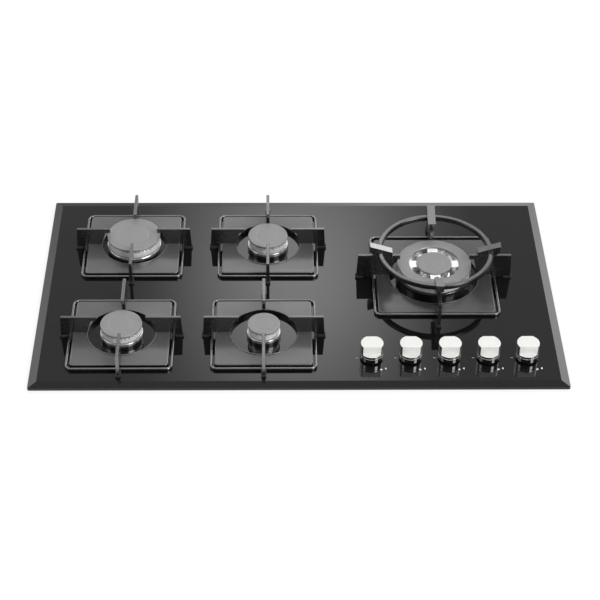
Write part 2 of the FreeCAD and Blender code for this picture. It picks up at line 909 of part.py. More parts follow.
def tap(x):
    front = rail_y + rail_radius - saddle_overlap
    rear = knob_row + tap_depth
    bottom = pipe_level - rail_radius
    body = block(x - tap_half_width, x + tap_half_width, front, rear, bottom, tap_top_level)
    neck = rod(x, knob_row, tap_neck_radius, tap_top_level, tap_top_level + tap_neck_height)
    outlets = []
    for outlet in tap_outlets(x):
        root = Vector(outlet, rear, pipe_level)
        outlets.append(rod_along(root, root + Vector(0, port_boss_length, 0), port_boss_radius))
    body = join([body, neck] + outlets)
    rail_room = rod_along(Vector(x - 2 * tap_half_width, rail_y, pipe_level),
                          Vector(x + 2 * tap_half_width, rail_y, pipe_level), rail_radius + running_gap)
    bore_bottom = spindle_bottom_level - push_travel - tap_bore_floor
    bore = rod(x, knob_row, spindle_radius + running_gap, bore_bottom, tap_top_level + tap_neck_height + 1)
    cuts = [rail_room, bore]
    for outlet in tap_outlets(x):
        seat = Vector(outlet, rear + port_boss_length - feed_insertion, pipe_level)
        cuts.append(rod_along(seat, seat + Vector(0, feed_insertion + 1, 0), feed_radius + feed_fit))
    return body.cut(cuts)


def tap_strap(x):
    """A saddle that holds the tap to the rail."""
    start = Vector(x - strap_width / 2, rail_y, pipe_level)
    end = Vector(x + strap_width / 2, rail_y, pipe_level)
    room = rod_along(start, end, rail_radius + running_gap)
    ring = rod_along(start, end, rail_radius + strap_wall).cut(room)
    front = rail_y + rail_radius - saddle_overlap
    behind = block(x - strap_width, x + strap_width, front, front + 4 * rail_radius, 0, box_height)
    return ring.cut(behind)


def switch_top():
    return collar_bottom() - push_travel - switch_free_play


def collar_bottom():
    return tap_top_level + tap_neck_height + push_travel + switch_free_play + switch_button_height


def ignition_switch(x):
    rear = knob_row + tap_depth
    front = rear - switch_depth
    button_base = switch_top() - switch_button_height
    body = block(x - switch_width / 2, x + switch_width / 2, front, rear, tap_top_level, button_base)
    button = rod(x, (front + rear) / 2, switch_button_radius, button_base, switch_top())
    return join([body, button])


def switch_collar(x):
    """A sliding collar on the spindle whose arm presses the switch."""
    bottom = collar_bottom()
    top = bottom + collar_thickness
    ring = rod(x, knob_row, collar_radius, bottom, top)
    half = collar_arm_width / 2
    arm = block(x - half, x + half, knob_row, knob_row + tap_depth, bottom, top)
    return join([ring, arm]).cut(rod(x, knob_row, spindle_radius + running_gap, bottom - 1, top + 1))


# --- Gas rail, pipes and inlet -------------------------------------------------------------


def gas_manifold():
    """The rail along the taps and the main pipe that brings gas from the inlet."""
    rear_wall = box_depth / 2 - box_sheet
    rail_start = Vector(knob_places[0] - rail_overhang, rail_y, pipe_level)
    corner = Vector(main_pipe_x, rail_y, pipe_level)
    end = Vector(main_pipe_x, rear_wall - inlet_nut_length, pipe_level)
    inner = rail_radius - rail_wall
    body = pipe([rail_start, corner, end], rail_bend, rail_radius, inner)
    plug = rod_along(rail_start, rail_start + Vector(2 * rail_wall, 0, 0), inner)
    return join([body, plug])


def gas_inlet():
    """Threaded stub through the rear wall, with a nut inside that takes the main pipe."""
    rear_wall = box_depth / 2
    inside = Vector(main_pipe_x, rear_wall - box_sheet - inlet_nut_length, pipe_level)
    inner_face = Vector(main_pipe_x, rear_wall - box_sheet, pipe_level)
    outer_face = Vector(main_pipe_x, rear_wall, pipe_level)
    along = Vector(0, 1, 0)
    nut = rod_along(inside, inner_face, inlet_nut_radius)
    sleeve = rod_along(inside, outer_face, inlet_bore_radius + rail_wall)
    flange = rod_along(outer_face, outer_face + along * box_sheet, inlet_nut_radius)
    stub_end = outer_face + along * (box_sheet + inlet_thread_length)
    stub = rod_along(outer_face, stub_end, inlet_thread_radius)
    bore = rod_along(inside - along, stub_end + along, inlet_bore_radius)
    return join([nut, sleeve, flange, stub]).cut(bore)


def feed_route(start_x, lane_y, end):
    """From a tap back to a lane, along the lane, and up or down to a burner port."""
    start = Vector(start_x, knob_row + tap_depth + port_boss_length - feed_insertion, pipe_level)
    return [start, Vector(start_x, lane_y, pipe_level), Vector(end.x, lane_y, pipe_level), end]


def port_end(head, direction):
    reach = holder_radius + port_boss_length - feed_insertion
    return Vector(head["x"], head["y"] + direction * reach, pipe_level)


def raised_route(start_x, lane_y, end, direction):
    """A route that climbs over the lanes in front of it and comes down again at its burner."""
    start = Vector(start_x, knob_row + tap_depth + port_boss_length - feed_insertion, pipe_level)
    foot = start.y + ramp_length / 2
    last_foot = end.y + direction * ramp_length / 2
    return [
        start,
        Vector(start_x, foot, pipe_level),
        Vector(start_x, foot + ramp_length, raised_level),
        Vector(start_x, lane_y, raised_level),
        Vector(end.x, lane_y, raised_level),
        Vector(end.x, last_foot + direction * ramp_length, raised_level),
        Vector(end.x, last_foot, pipe_level),
        end,
    ]


def feed_pipes():
    front_left, rear_left, front_centre, rear_centre = small_burners
    lanes = [first_lane_y + lane_pitch * index for index in range(4)]
    routes = [
        feed_route(knob_places[0], lanes[0], port_end(front_left, 1)),
        feed_route(knob_places[1], lanes[1], port_end(rear_left, -1)),
        raised_route(knob_places[2], lanes[2], port_end(front_centre, 1), 1),
        feed_route(knob_places[3], lanes[3], port_end(rear_centre, -1)),
    ]
    face = wok_burner["x"] + wok_injector_offset + holder_radius - feed_insertion
    for side in (-1, 1):
        lane = wok_burner["y"] + side * wok_port_spacing / 2
        start_x = knob_places[4] + side * wok_pipe_offset
        start = Vector(start_x, knob_row + tap_depth + port_boss_length - feed_insertion, pipe_level)
        routes.append([start, Vector(start_x, lane, pipe_level), Vector(face, lane, pipe_level)])
    return [pipe(route, feed_bend, feed_radius, feed_radius - feed_wall) for route in routes]


def bracket_places():
    return [(knob_places[0] + knob_places[1]) / 2, (knob_places[2] + knob_places[3]) / 2]


def floor_screw_places():
    places = [(x, rail_y + rail_radius + bracket_foot / 2) for x in bracket_places()]
    for side in (-1, 1):
        places.append((generator_x, generator_y + side * (generator_depth + generator_ear) / 2))
    return places


def rail_bracket(x):
    """A sheet saddle that carries the rail above the box floor."""
    half = bracket_width / 2
    rail_bottom = pipe_level - rail_radius
    rail_rear = rail_y + rail_radius
    foot_top = box_floor + bracket_sheet
    foot = block(x - half, x + half, rail_y, rail_rear + bracket_foot, box_floor, foot_top)
    post = block(x - half, x + half, rail_y - bracket_sheet, rail_y, box_floor, rail_bottom + bracket_sheet)
    hook = block(x - half, x + half, rail_y - bracket_sheet, rail_rear,
                 rail_bottom - bracket_sheet, rail_bottom)
    room = rod_along(Vector(x - 2 * half, rail_y, pipe_level), Vector(x + 2 * half, rail_y, pipe_level),
                     rail_radius + running_gap)
    hole = rod(x, rail_rear + bracket_foot / 2, screw_radius + feed_fit, -1, foot_top + 1)
    return join([foot, post, hook]).cut([room, hole])


def cable_gland():
    """Bushing for the mains lead, clamped in the rear wall by its two nuts."""
    rear_wall = box_depth / 2
    along = Vector(0, 1, 0)
    inner_face = Vector(gland_x, rear_wall - box_sheet, gland_level)
    outer_face = Vector(gland_x, rear_wall, gland_level)
    inner_nut = rod_along(inner_face, inner_face - along * gland_nut_length, gland_nut_radius)
    outer_nut = rod_along(outer_face, outer_face + along * gland_nut_length, gland_nut_radius)
    inner_end = inner_face - along * gland_nut_length
    nut_end = outer_face + along * gland_nut_length
    sleeve = rod_along(inner_end, nut_end, gland_radius)
    dome = Part.makeCone(gland_nut_radius - 2, gland_bore_radius + 2,
                         gland_dome_length - gland_nut_length, nut_end, along)
    bore = rod_along(inner_end - along, outer_face + along * (gland_dome_length + 1), gland_bore_radius)
    return join([inner_nut, sleeve, outer_nut, dome]).cut(bore)


# --- Ignition ------------------------------------------------------------------------------


def spark_generator():
    half_x = generator_width / 2
    half_y = generator_depth / 2
    corner = generator_corner_radius
    case = rounded_plate(generator_x, generator_y, half_x, half_y, corner,
                         box_floor, box_floor + generator_height)
    ears = rounded_plate(generator_x, generator_y, screw_head_radius * 2, half_y + generator_ear, corner,
                         box_floor, box_floor + bracket_sheet)
    holes = [rod(x, y, screw_radius + feed_fit, 0, box_floor + bracket_sheet + 1)
             for x, y in floor_screw_places()[2:]]
    return join([case, ears]).cut(holes)


def ignition_leads():
    front_left, rear_left, front_centre, rear_centre = small_burners
    left_face = generator_x - generator_width / 2
    right_face = generator_x + generator_width / 2
    first_y = generator_y + generator_depth / 2 - lead_pitch / 2
    starts = []
    for index, head in enumerate([rear_left, rear_centre, front_left, front_centre]):
        starts.append((head, Vector(left_face, first_y - lead_pitch * (index + 1), lead_level), -1))
    starts.append((wok_burner, Vector(right_face, generator_y, lead_level), 1))
    leads = []
    for head, start, side in starts:
        place = electrode_place(head)
        foot = Vector(place.x, place.y, lead_level)
        top = Vector(place.x, place.y, terminal_bottom_level)
        turn = start + Vector(side * lead_exit, 0, 0)
        leads.append(swept([start, turn, foot, top], lead_bend, lead_radius))
    return leads


def switch_loom():
    """The flat loom that links the switches and runs back to the generator."""
    rear = knob_row + tap_depth
    half = loom_width / 2
    top = loom_level + loom_thickness
    trunk_y = rear + loom_gap
    trunk = block(knob_places[0] - half, knob_places[-1] + half, trunk_y, trunk_y + loom_width,
                  loom_level, top)
    back = block(loom_x - half, loom_x + half, trunk_y, generator_y, loom_level, top)
    drop = block(loom_x - half, loom_x + half, generator_y - loom_thickness, generator_y,
                 box_floor + generator_height, top)
    tails = []
    for x in knob_places:
        tails.append(block(x - half, x + half, rear, rear + loom_thickness, tap_top_level + half, top))
        tails.append(block(x - half, x + half, rear, trunk_y + half, loom_level, top))
    return join([trunk, back, drop] + tails)


# --- Worktop clamps and screws -------------------------------------------------------------


def clamp_places():
    x = box_width / 2 - clamp_inset
    return [(side_x * x, side_y) for side_x in (-1, 1) for side_y in (-1, 1)]


def worktop_clamp(x, side):
    """A bracket on the box wall whose lower arm reaches under the worktop."""
    wall = box_depth / 2
    half = clamp_width / 2
    plate = block(x - half, x + half, wall, wall + clamp_sheet, clamp_grip_level, clamp_top_level)
    arm = block(x - half, x + half, wall, wall + clamp_reach,
                clamp_grip_level, clamp_grip_level + clamp_sheet)
    bracket = join([plate, arm])
    hole_level = (clamp_grip_level + clamp_top_level) / 2
    hole = rod_along(Vector(x, wall - 1, hole_level), Vector(x, wall + clamp_sheet + 1, hole_level),
                     screw_radius + feed_fit)
    bracket = bracket.cut(hole)
    if side < 0:
        bracket = bracket.mirror(Vector(0, 0, 0), Vector(0, 1, 0))
    return bracket


def floor_screw(x, y):
    seat = box_floor + bracket_sheet
    head = rod(x, y, screw_head_radius, seat, seat + screw_head_height)
    return join([head, rod(x, y, screw_radius, 0, seat)])


def clamp_screw(x, side):
    wall = box_depth / 2 + clamp_sheet
    level = (clamp_grip_level + clamp_top_level) / 2
    start = Vector(x, side * wall, level)
    out = Vector(0, side, 0)
    head = rod_along(start, start + out * screw_head_height, screw_head_radius)
    shank = rod_along(start - out * clamp_sheet, start, screw_radius)
    return join([head, shank])


# --- Build ---------------------------------------------------------------------------------

save("glass_top", glass_top_piece())
save("burner_box", burner_box())
save("worktop_seal", worktop_seal())

front_port = Vector(0, 1, 0)
rear_port = Vector(0, -1, 0)
cups = [small_cup(head, front_port if head["y"] == front_row else rear_port) for head in small_burners]
save_group("burner_cups", cups + [wok_cup()])
small_injectors = [injector(head["x"], head["y"]) for head in small_burners]
save_group("injectors", small_injectors + [injector(place.x, place.y) for place in wok_injector_places()])
save_group("spark_electrodes", [electrode(head) for head in all_burners])

for head in small_burners:
    save("burner_crown_" + head["name"], small_crown(head))
    save("burner_cap_" + head["name"], small_cap(head))
    save("drip_tray_" + head["name"],
         drip_tray(head["x"], head["y"], tray_half, tray_hole_radius, tray_height))
    save("pan_support_" + head["name"],
         pan_support(head["x"], head["y"], tray_half, tray_height + blade_clearance,
                     support_height, blade_tip_radius, blade_reach))
    save_group("support_feet_" + head["name"], support_feet(head["x"], head["y"], blade_reach))

save("burner_crown_wok", wok_crown())
save("burner_cap_wok_outer", wok_outer_cap())
save("burner_cap_wok_inner", wok_inner_cap())
save("drip_tray_wok",
     drip_tray(wok_column, wok_row, wok_tray_half, wok_tray_hole_radius, wok_tray_height))
save("pan_support_wok",
     pan_support(wok_column, wok_row, wok_tray_half, wok_tray_height + blade_clearance,
                 wok_support_height, wok_blade_tip_radius, wok_blade_reach))
save_group("support_feet_wok", support_feet(wok_column, wok_row, wok_blade_reach))
save("wok_ring", wok_ring())

for number, x in enumerate(knob_places, 1):
    save("knob_%d" % number, knob(x))
    save("tap_spindle_%d" % number, spindle(x))
    save("switch_collar_%d" % number, switch_collar(x))
save_group("knob_seals", [knob_seal(x) for x in knob_places])
save_group("gas_taps", [tap(x) for x in knob_places])
save_group("ignition_switches", [ignition_switch(x) for x in knob_places])
straps = [tap_strap(x) for x in knob_places]
save_group("rail_fixings", straps + [rail_bracket(x) for x in bracket_places()])

save("gas_manifold", gas_manifold())
save("gas_inlet", gas_inlet())
save_group("feed_pipes", feed_pipes())
save("cable_gland", cable_gland())
save("spark_generator", spark_generator())
save_group("ignition_wiring", ignition_leads() + [switch_loom()])
save_group("worktop_clamps", [worktop_clamp(x, side) for x, side in clamp_places()])
floor_screws = [floor_screw(x, y) for x, y in floor_screw_places()]
save_group("screws", floor_screws + [clamp_screw(x, side) for x, side in clamp_places()])
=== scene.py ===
import json
import math

import bmesh
import bpy
from mathutils import Matrix, Vector


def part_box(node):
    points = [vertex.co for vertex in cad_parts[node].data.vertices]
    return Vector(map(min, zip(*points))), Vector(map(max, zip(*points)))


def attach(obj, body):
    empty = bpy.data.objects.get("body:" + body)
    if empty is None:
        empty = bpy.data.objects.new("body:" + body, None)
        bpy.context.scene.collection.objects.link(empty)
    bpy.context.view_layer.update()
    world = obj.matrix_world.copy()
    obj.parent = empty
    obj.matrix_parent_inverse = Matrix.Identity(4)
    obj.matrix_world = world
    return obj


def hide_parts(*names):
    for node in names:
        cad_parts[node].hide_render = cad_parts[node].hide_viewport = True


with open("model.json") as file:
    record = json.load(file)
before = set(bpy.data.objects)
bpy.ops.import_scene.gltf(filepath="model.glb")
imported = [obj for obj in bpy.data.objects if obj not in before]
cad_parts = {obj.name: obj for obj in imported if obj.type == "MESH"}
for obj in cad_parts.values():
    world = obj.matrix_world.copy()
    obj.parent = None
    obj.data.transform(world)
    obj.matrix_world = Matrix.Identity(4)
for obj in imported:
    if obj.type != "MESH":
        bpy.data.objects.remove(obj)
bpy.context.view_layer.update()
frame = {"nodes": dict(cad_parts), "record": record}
nodes = frame["nodes"]
record = frame["record"]
slotOf = {part["node"]: part["material_slot"] for part in record["subparts"]}
bodyOf = {node: body for body, members in record["behaviour"]["bodies"].items()
          for node in members}
mm = 0.001
tiny = 0.00001  # metres, below which two points are one
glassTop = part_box("glass_top")[1].z
smallBurners = ["front_left", "rear_left", "front_centre", "rear_centre"]
allBurners = smallBurners + ["wok"]
knobNames = ["knob_%d" % number for number in range(1, 6)]
print("frame loaded:", len(nodes), "nodes")

# Camera: where the photograph was taken from
camera = {"place": (-0.0480, -2.2962, 1.9656), "elevation": 40.12, "yaw": 1.31, "roll": 0.75,
          "focalPixels": 1688.9, "imagePixels": 600, "sensor": 36.0}


def addCamera():
    down = math.radians(camera["elevation"])
    yaw = math.radians(camera["yaw"])
    roll = math.radians(camera["roll"])
    ahead = Vector((math.sin(yaw) * math.cos(down), math.cos(yaw) * math.cos(down),
                    -math.sin(down)))
    side = Vector((math.cos(yaw), -math.sin(yaw), 0))
    upward = side.cross(ahead)
    right = side * math.cos(roll) + upward * math.sin(roll)
    top = upward * math.cos(roll) - side * math.sin(roll)
    data = bpy.data.cameras.new("camera")
    data.sensor_width = camera["sensor"]
    data.lens = camera["focalPixels"] / camera["imagePixels"] * camera["sensor"]
    holder = bpy.data.objects.new("camera", data)
    bpy.context.scene.collection.objects.link(holder)
    turn = Matrix((right, top, -ahead)).transposed().to_4x4()
    holder.matrix_world = Matrix.Translation(camera["place"]) @ turn
    bpy.context.scene.camera = holder


addCamera()
print("camera placed")


# Small helpers for node trees: a value is a number to set or a socket to link
def feed(tree, socket, value):
    if isinstance(value, bpy.types.NodeSocket):
        tree.links.new(value, socket)
    else:
        socket.default_value = value


def feedAll(tree, node, values):
    for name, value in values.items():
        feed(tree, node.inputs[name], value)


def mathNode(tree, operation, *values):
    node = tree.nodes.new("ShaderNodeMath")
    node.operation = operation
    for place, value in enumerate(values):
        feed(tree, node.inputs[place], value)
    return node.outputs[0]


def remap(tree, value, low, high, toLow=0.0, toHigh=1.0, kind="LINEAR"):
    node = tree.nodes.new("ShaderNodeMapRange")
    node.interpolation_type = kind
    feedAll(tree, node, {"Value": value, "From Min": low, "From Max": high,
                         "To Min": toLow, "To Max": toHigh})
    return node.outputs["Result"]


def softStep(tree, value, low, high):
    return remap(tree, value, low, high, kind="SMOOTHSTEP")


def mixNumber(tree, share, first, second):
    node = tree.nodes.new("ShaderNodeMix")
    node.data_type = "FLOAT"
    for place, value in ((0, share), (2, first), (3, second)):
        feed(tree, node.inputs[place], value)
    return node.outputs[0]


def mixColour(tree, share, first, second):
    node = tree.nodes.new("ShaderNodeMix")
    node.data_type = "RGBA"
    feed(tree, node.inputs[0], share)
    for place, value in ((6, first), (7, second)):
        linked = isinstance(value, bpy.types.NodeSocket)
        feed(tree, node.inputs[place], value if linked else (*value, 1))
    return node.outputs[2]


def newMaterial(name):
    material = bpy.data.materials.new(name)
    material.use_nodes = True
    return material, material.node_tree, material.node_tree.nodes["Principled BSDF"]


# World: a studio of soft boxes painted on the sky, each a window with soft sides.
# Azimuth is from the wall (+Y) towards the right and elevation from the horizon, in degrees.
studio = {
    "base": 0.52,
    "front": 0.12,
    "frontFrom": 75,
    "frontTo": 95,
    "horizon": 1.0,
    "horizonTop": (5, 11),
    "ground": 0.8,
    "groundTop": (-12, -3),
    "boxes": {
        # azimuth, half width, soft side, low, high, soft end, brightness
        "glow": (1.2, 2.67, 5.33, 36.5, 42.6, 5, 3.2),
        "rightPanel": (42, 16, 6, 18, 56, 6, 3.2),
        "leftPanel": (-42, 16, 6, 18, 56, 6, 1.5),
        "rearLow": (14, 11, 8, 9, 19, 4, 1.5),
        "roof": (0, 180, 1, 72, 100, 6, 1.6),
        "frontRight": (129, 12, 6, 22, 58, 5, 11.5),
        "frontLeft": (-102, 10, 6, 22, 58, 5, 3),
    },
}


def softBox(tree, azimuth, level, window):
    middle, half, side, low, high, end, brightness = window
    away = mathNode(tree, "ABSOLUTE", mathNode(tree, "SUBTRACT", azimuth, float(middle)))
    outside = softStep(tree, away, half - side / 2, half + side)
    across = mathNode(tree, "SUBTRACT", 1.0, outside)
    foot = softStep(tree, level, low - end, low + end)
    head = mathNode(tree, "SUBTRACT", 1.0, softStep(tree, level, high - end, high + end))
    inside = mathNode(tree, "MULTIPLY", across, mathNode(tree, "MULTIPLY", foot, head))
    return mathNode(tree, "MULTIPLY", inside, float(brightness))


def paintWorld():
    world = bpy.data.worlds.new("studio")
    world.use_nodes = True
    bpy.context.scene.world = world
    tree = world.node_tree
    background = tree.nodes["Background"]
    coordinate = tree.nodes.new("ShaderNodeTexCoord")
    split = tree.nodes.new("ShaderNodeSeparateXYZ")
    tree.links.new(coordinate.outputs["Generated"], split.inputs[0])
    x, y, z = split.outputs
    level = mathNode(tree, "MULTIPLY", mathNode(tree, "ARCSINE", z), math.degrees(1))
    azimuth = mathNode(tree, "MULTIPLY", mathNode(tree, "ARCTAN2", x, y), math.degrees(1))
    facing = mathNode(tree, "ABSOLUTE", azimuth)
    # The room is darker on the side away from the wall
    behind = softStep(tree, facing, studio["frontFrom"], studio["frontTo"])
    light = mixNumber(tree, behind, studio["base"], studio["front"])
    for window in studio["boxes"].values():
        light = mathNode(tree, "ADD", light, softBox(tree, azimuth, level, window))
    above = softStep(tree, level, *studio["horizonTop"])
    light = mixNumber(tree, above, studio["horizon"], light)
    above = softStep(tree, level, *studio["groundTop"])
    light = mixNumber(tree, above, studio["ground"], light)
    tree.links.new(light, background.inputs["Strength"])
    background.inputs["Color"].default_value = (1, 1, 1, 1)


paintWorld()

# Floor: the pale worktop that the panel lies on
floor = {"level": 0.0468, "half": 6.0, "colour": (0.86, 0.86, 0.86), "shown": 0.86, "rough": 0.9}


def layFloor():
    mesh = bpy.data.meshes.new("worktop")
    half = floor["half"]
    corners = ((-half, -half), (half, -half), (half, half), (-half, half))
    mesh.from_pydata([(x, y, floor["level"]) for x, y in corners], [], [(0, 1, 2, 3)])
    slab = bpy.data.objects.new("worktop", mesh)
    bpy.context.scene.collection.objects.link(slab)
    material, tree, shader = newMaterial("worktop")
    feedAll(tree, shader, {"Base Color": (*floor["colour"], 1), "Roughness": floor["rough"],
                           "Specular IOR Level": 0.0})
    # Rays that see the floor, straight or in a surface, get an even tone
    glow = tree.nodes.new("ShaderNodeEmission")
    path = tree.nodes.new("ShaderNodeLightPath").outputs
    seen = mathNode(tree, "MAXIMUM", path["Is Camera Ray"], path["Is Glossy Ray"])
    seen = mathNode(tree, "MAXIMUM", seen, path["Is Transmission Ray"])
    mix = tree.nodes.new("ShaderNodeMixShader")
    tree.links.new(mathNode(tree, "MULTIPLY", seen, floor["shown"]), mix.inputs[0])
    tree.links.new(shader.outputs[0], mix.inputs[1])
    tree.links.new(glow.outputs[0], mix.inputs[2])
    tree.links.new(mix.outputs[0], tree.nodes["Material Output"].inputs["Surface"])
    mesh.materials.append(material)


layFloor()
print("world and worktop done")

# Surface effects that several finishes share, each a group that puts out a mask or a height
effects = {
    "grain": {"detail": 3.0, "rough": 0.6, "range": (0.3, 0.7)},
    "smears": {"detail": 4.0, "rough": 0.55, "strokes": (1.0, 7.0, 7.0), "strokeDetail": 3.0,
               "strokeRough": 0.6, "strokeShare": 0.5, "range": (0.36, 0.64)},
    "turned": {"detail": 2.0, "rough": 0.7, "range": (0.3, 0.7)},
    "scratches": {"detail": 1.0, "rough": 0.4, "range": (0.70, 0.76),
                  "runs": ((1.0, 34.0, 9.0), (27.0, 1.3, 9.0))},
}


def newGroup(name, inputs, outputs):
    tree = bpy.data.node_groups.new(name, "ShaderNodeTree")
    for label, kind in inputs.items():
        tree.interface.new_socket(label, in_out="INPUT", socket_type="NodeSocket" + kind)
    for label in outputs:
        tree.interface.new_socket(label, in_out="OUTPUT", socket_type="NodeSocketFloat")
    given = tree.nodes.new("NodeGroupInput").outputs
    return tree, given, tree.nodes.new("NodeGroupOutput").inputs


def noise(tree, vector, scale, detail, rough):
    node = tree.nodes.new("ShaderNodeTexNoise")
    feedAll(tree, node, {"Vector": vector, "Scale": scale, "Detail": detail, "Roughness": rough})
    return node.outputs[0]


def stretch(tree, vector, scales):
    node = tree.nodes.new("ShaderNodeVectorMath")
    node.operation = "MULTIPLY"
    feed(tree, node.inputs[0], vector)
    feed(tree, node.inputs[1], scales)
    return node.outputs[0]


def grainGroup():
    look = effects["grain"]
    tree, given, result = newGroup("grain", {"Vector": "Vector", "Scale": "Float"},
                                   ["Mask", "Height"])
    fine = noise(tree, given["Vector"], given["Scale"], look["detail"], look["rough"])
    tree.links.new(remap(tree, fine, *look["range"]), result["Mask"])
    tree.links.new(fine, result["Height"])
    return tree


def smearGroup():
    # Broad uneven patches, crossed by softer strokes of a cloth
    look = effects["smears"]
    share = look["strokeShare"]
    tree, given, result = newGroup("smears", {"Vector": "Vector", "Scale": "Float"}, ["Mask"])
    broad = noise(tree, given["Vector"], given["Scale"], look["detail"], look["rough"])
    drawn = stretch(tree, given["Vector"], look["strokes"])
    strokes = noise(tree, drawn, given["Scale"], look["strokeDetail"], look["strokeRough"])
    broad = mathNode(tree, "MULTIPLY", broad, 1 - share)
    both = mathNode(tree, "MULTIPLY_ADD", strokes, share, broad)
    tree.links.new(softStep(tree, both, *look["range"]), result["Mask"])
    return tree


def speckGroup():
    # Sparse round specks, each cell with its own chance and size
    tree, given, result = newGroup(
        "specks", {"Vector": "Vector", "Scale": "Float", "Share": "Float", "Size": "Float"},
        ["Mask"])
    cells = tree.nodes.new("ShaderNodeTexVoronoi")
    feedAll(tree, cells, {"Vector": given["Vector"], "Scale": given["Scale"]})
    chance = tree.nodes.new("ShaderNodeSeparateColor")
    tree.links.new(cells.outputs["Color"], chance.inputs[0])
    reach = mathNode(tree, "MULTIPLY", given["Size"], chance.outputs[1])
    near = mathNode(tree, "LESS_THAN", cells.outputs["Distance"], reach)
    chosen = mathNode(tree, "LESS_THAN", chance.outputs[0], given["Share"])
    tree.links.new(mathNode(tree, "MULTIPLY", near, chosen), result["Mask"])
    return tree


def turnedGroup():
    # Fine rings left by the lathe, from the piece's own map: round it and along its profile
    look = effects["turned"]
    tree, given, result = newGroup("turnedRings", {"Map": "Vector", "Rings": "Float"},
                                   ["Mask", "Height"])
    split = tree.nodes.new("ShaderNodeSeparateXYZ")
    feed(tree, split.inputs[0], given["Map"])
    angle = mathNode(tree, "MULTIPLY", split.outputs[0], 2 * math.pi)
    joined = tree.nodes.new("ShaderNodeCombineXYZ")
    feedAll(tree, joined, {"X": mathNode(tree, "COSINE", angle),
                           "Y": mathNode(tree, "SINE", angle),
                           "Z": mathNode(tree, "MULTIPLY", split.outputs[1], given["Rings"])})
    rings = noise(tree, joined.outputs[0], 1.0, look["detail"], look["rough"])
    tree.links.new(remap(tree, rings, *look["range"]), result["Mask"])
    tree.links.new(rings, result["Height"])
    return tree


def scratchGroup():
    # Thin marks of use, in two directions
    look = effects["scratches"]
    tree, given, result = newGroup("scratches", {"Vector": "Vector", "Scale": "Float"}, ["Mask"])
    masks = []
    for run in look["runs"]:
        drawn = stretch(tree, given["Vector"], run)
        lines = noise(tree, drawn, given["Scale"], look["detail"], look["rough"])
        masks.append(softStep(tree, lines, *look["range"]))
    tree.links.new(mathNode(tree, "MAXIMUM", *masks), result["Mask"])
    return tree


groups = {"grain": grainGroup(), "smears": smearGroup(), "specks": speckGroup(),
          "turned": turnedGroup(), "scratches": scratchGroup()}


def effect(tree, name, **values):
    node = tree.nodes.new("ShaderNodeGroup")
    node.node_tree = groups[name]
    feedAll(tree, node, values)
    return node.outputs


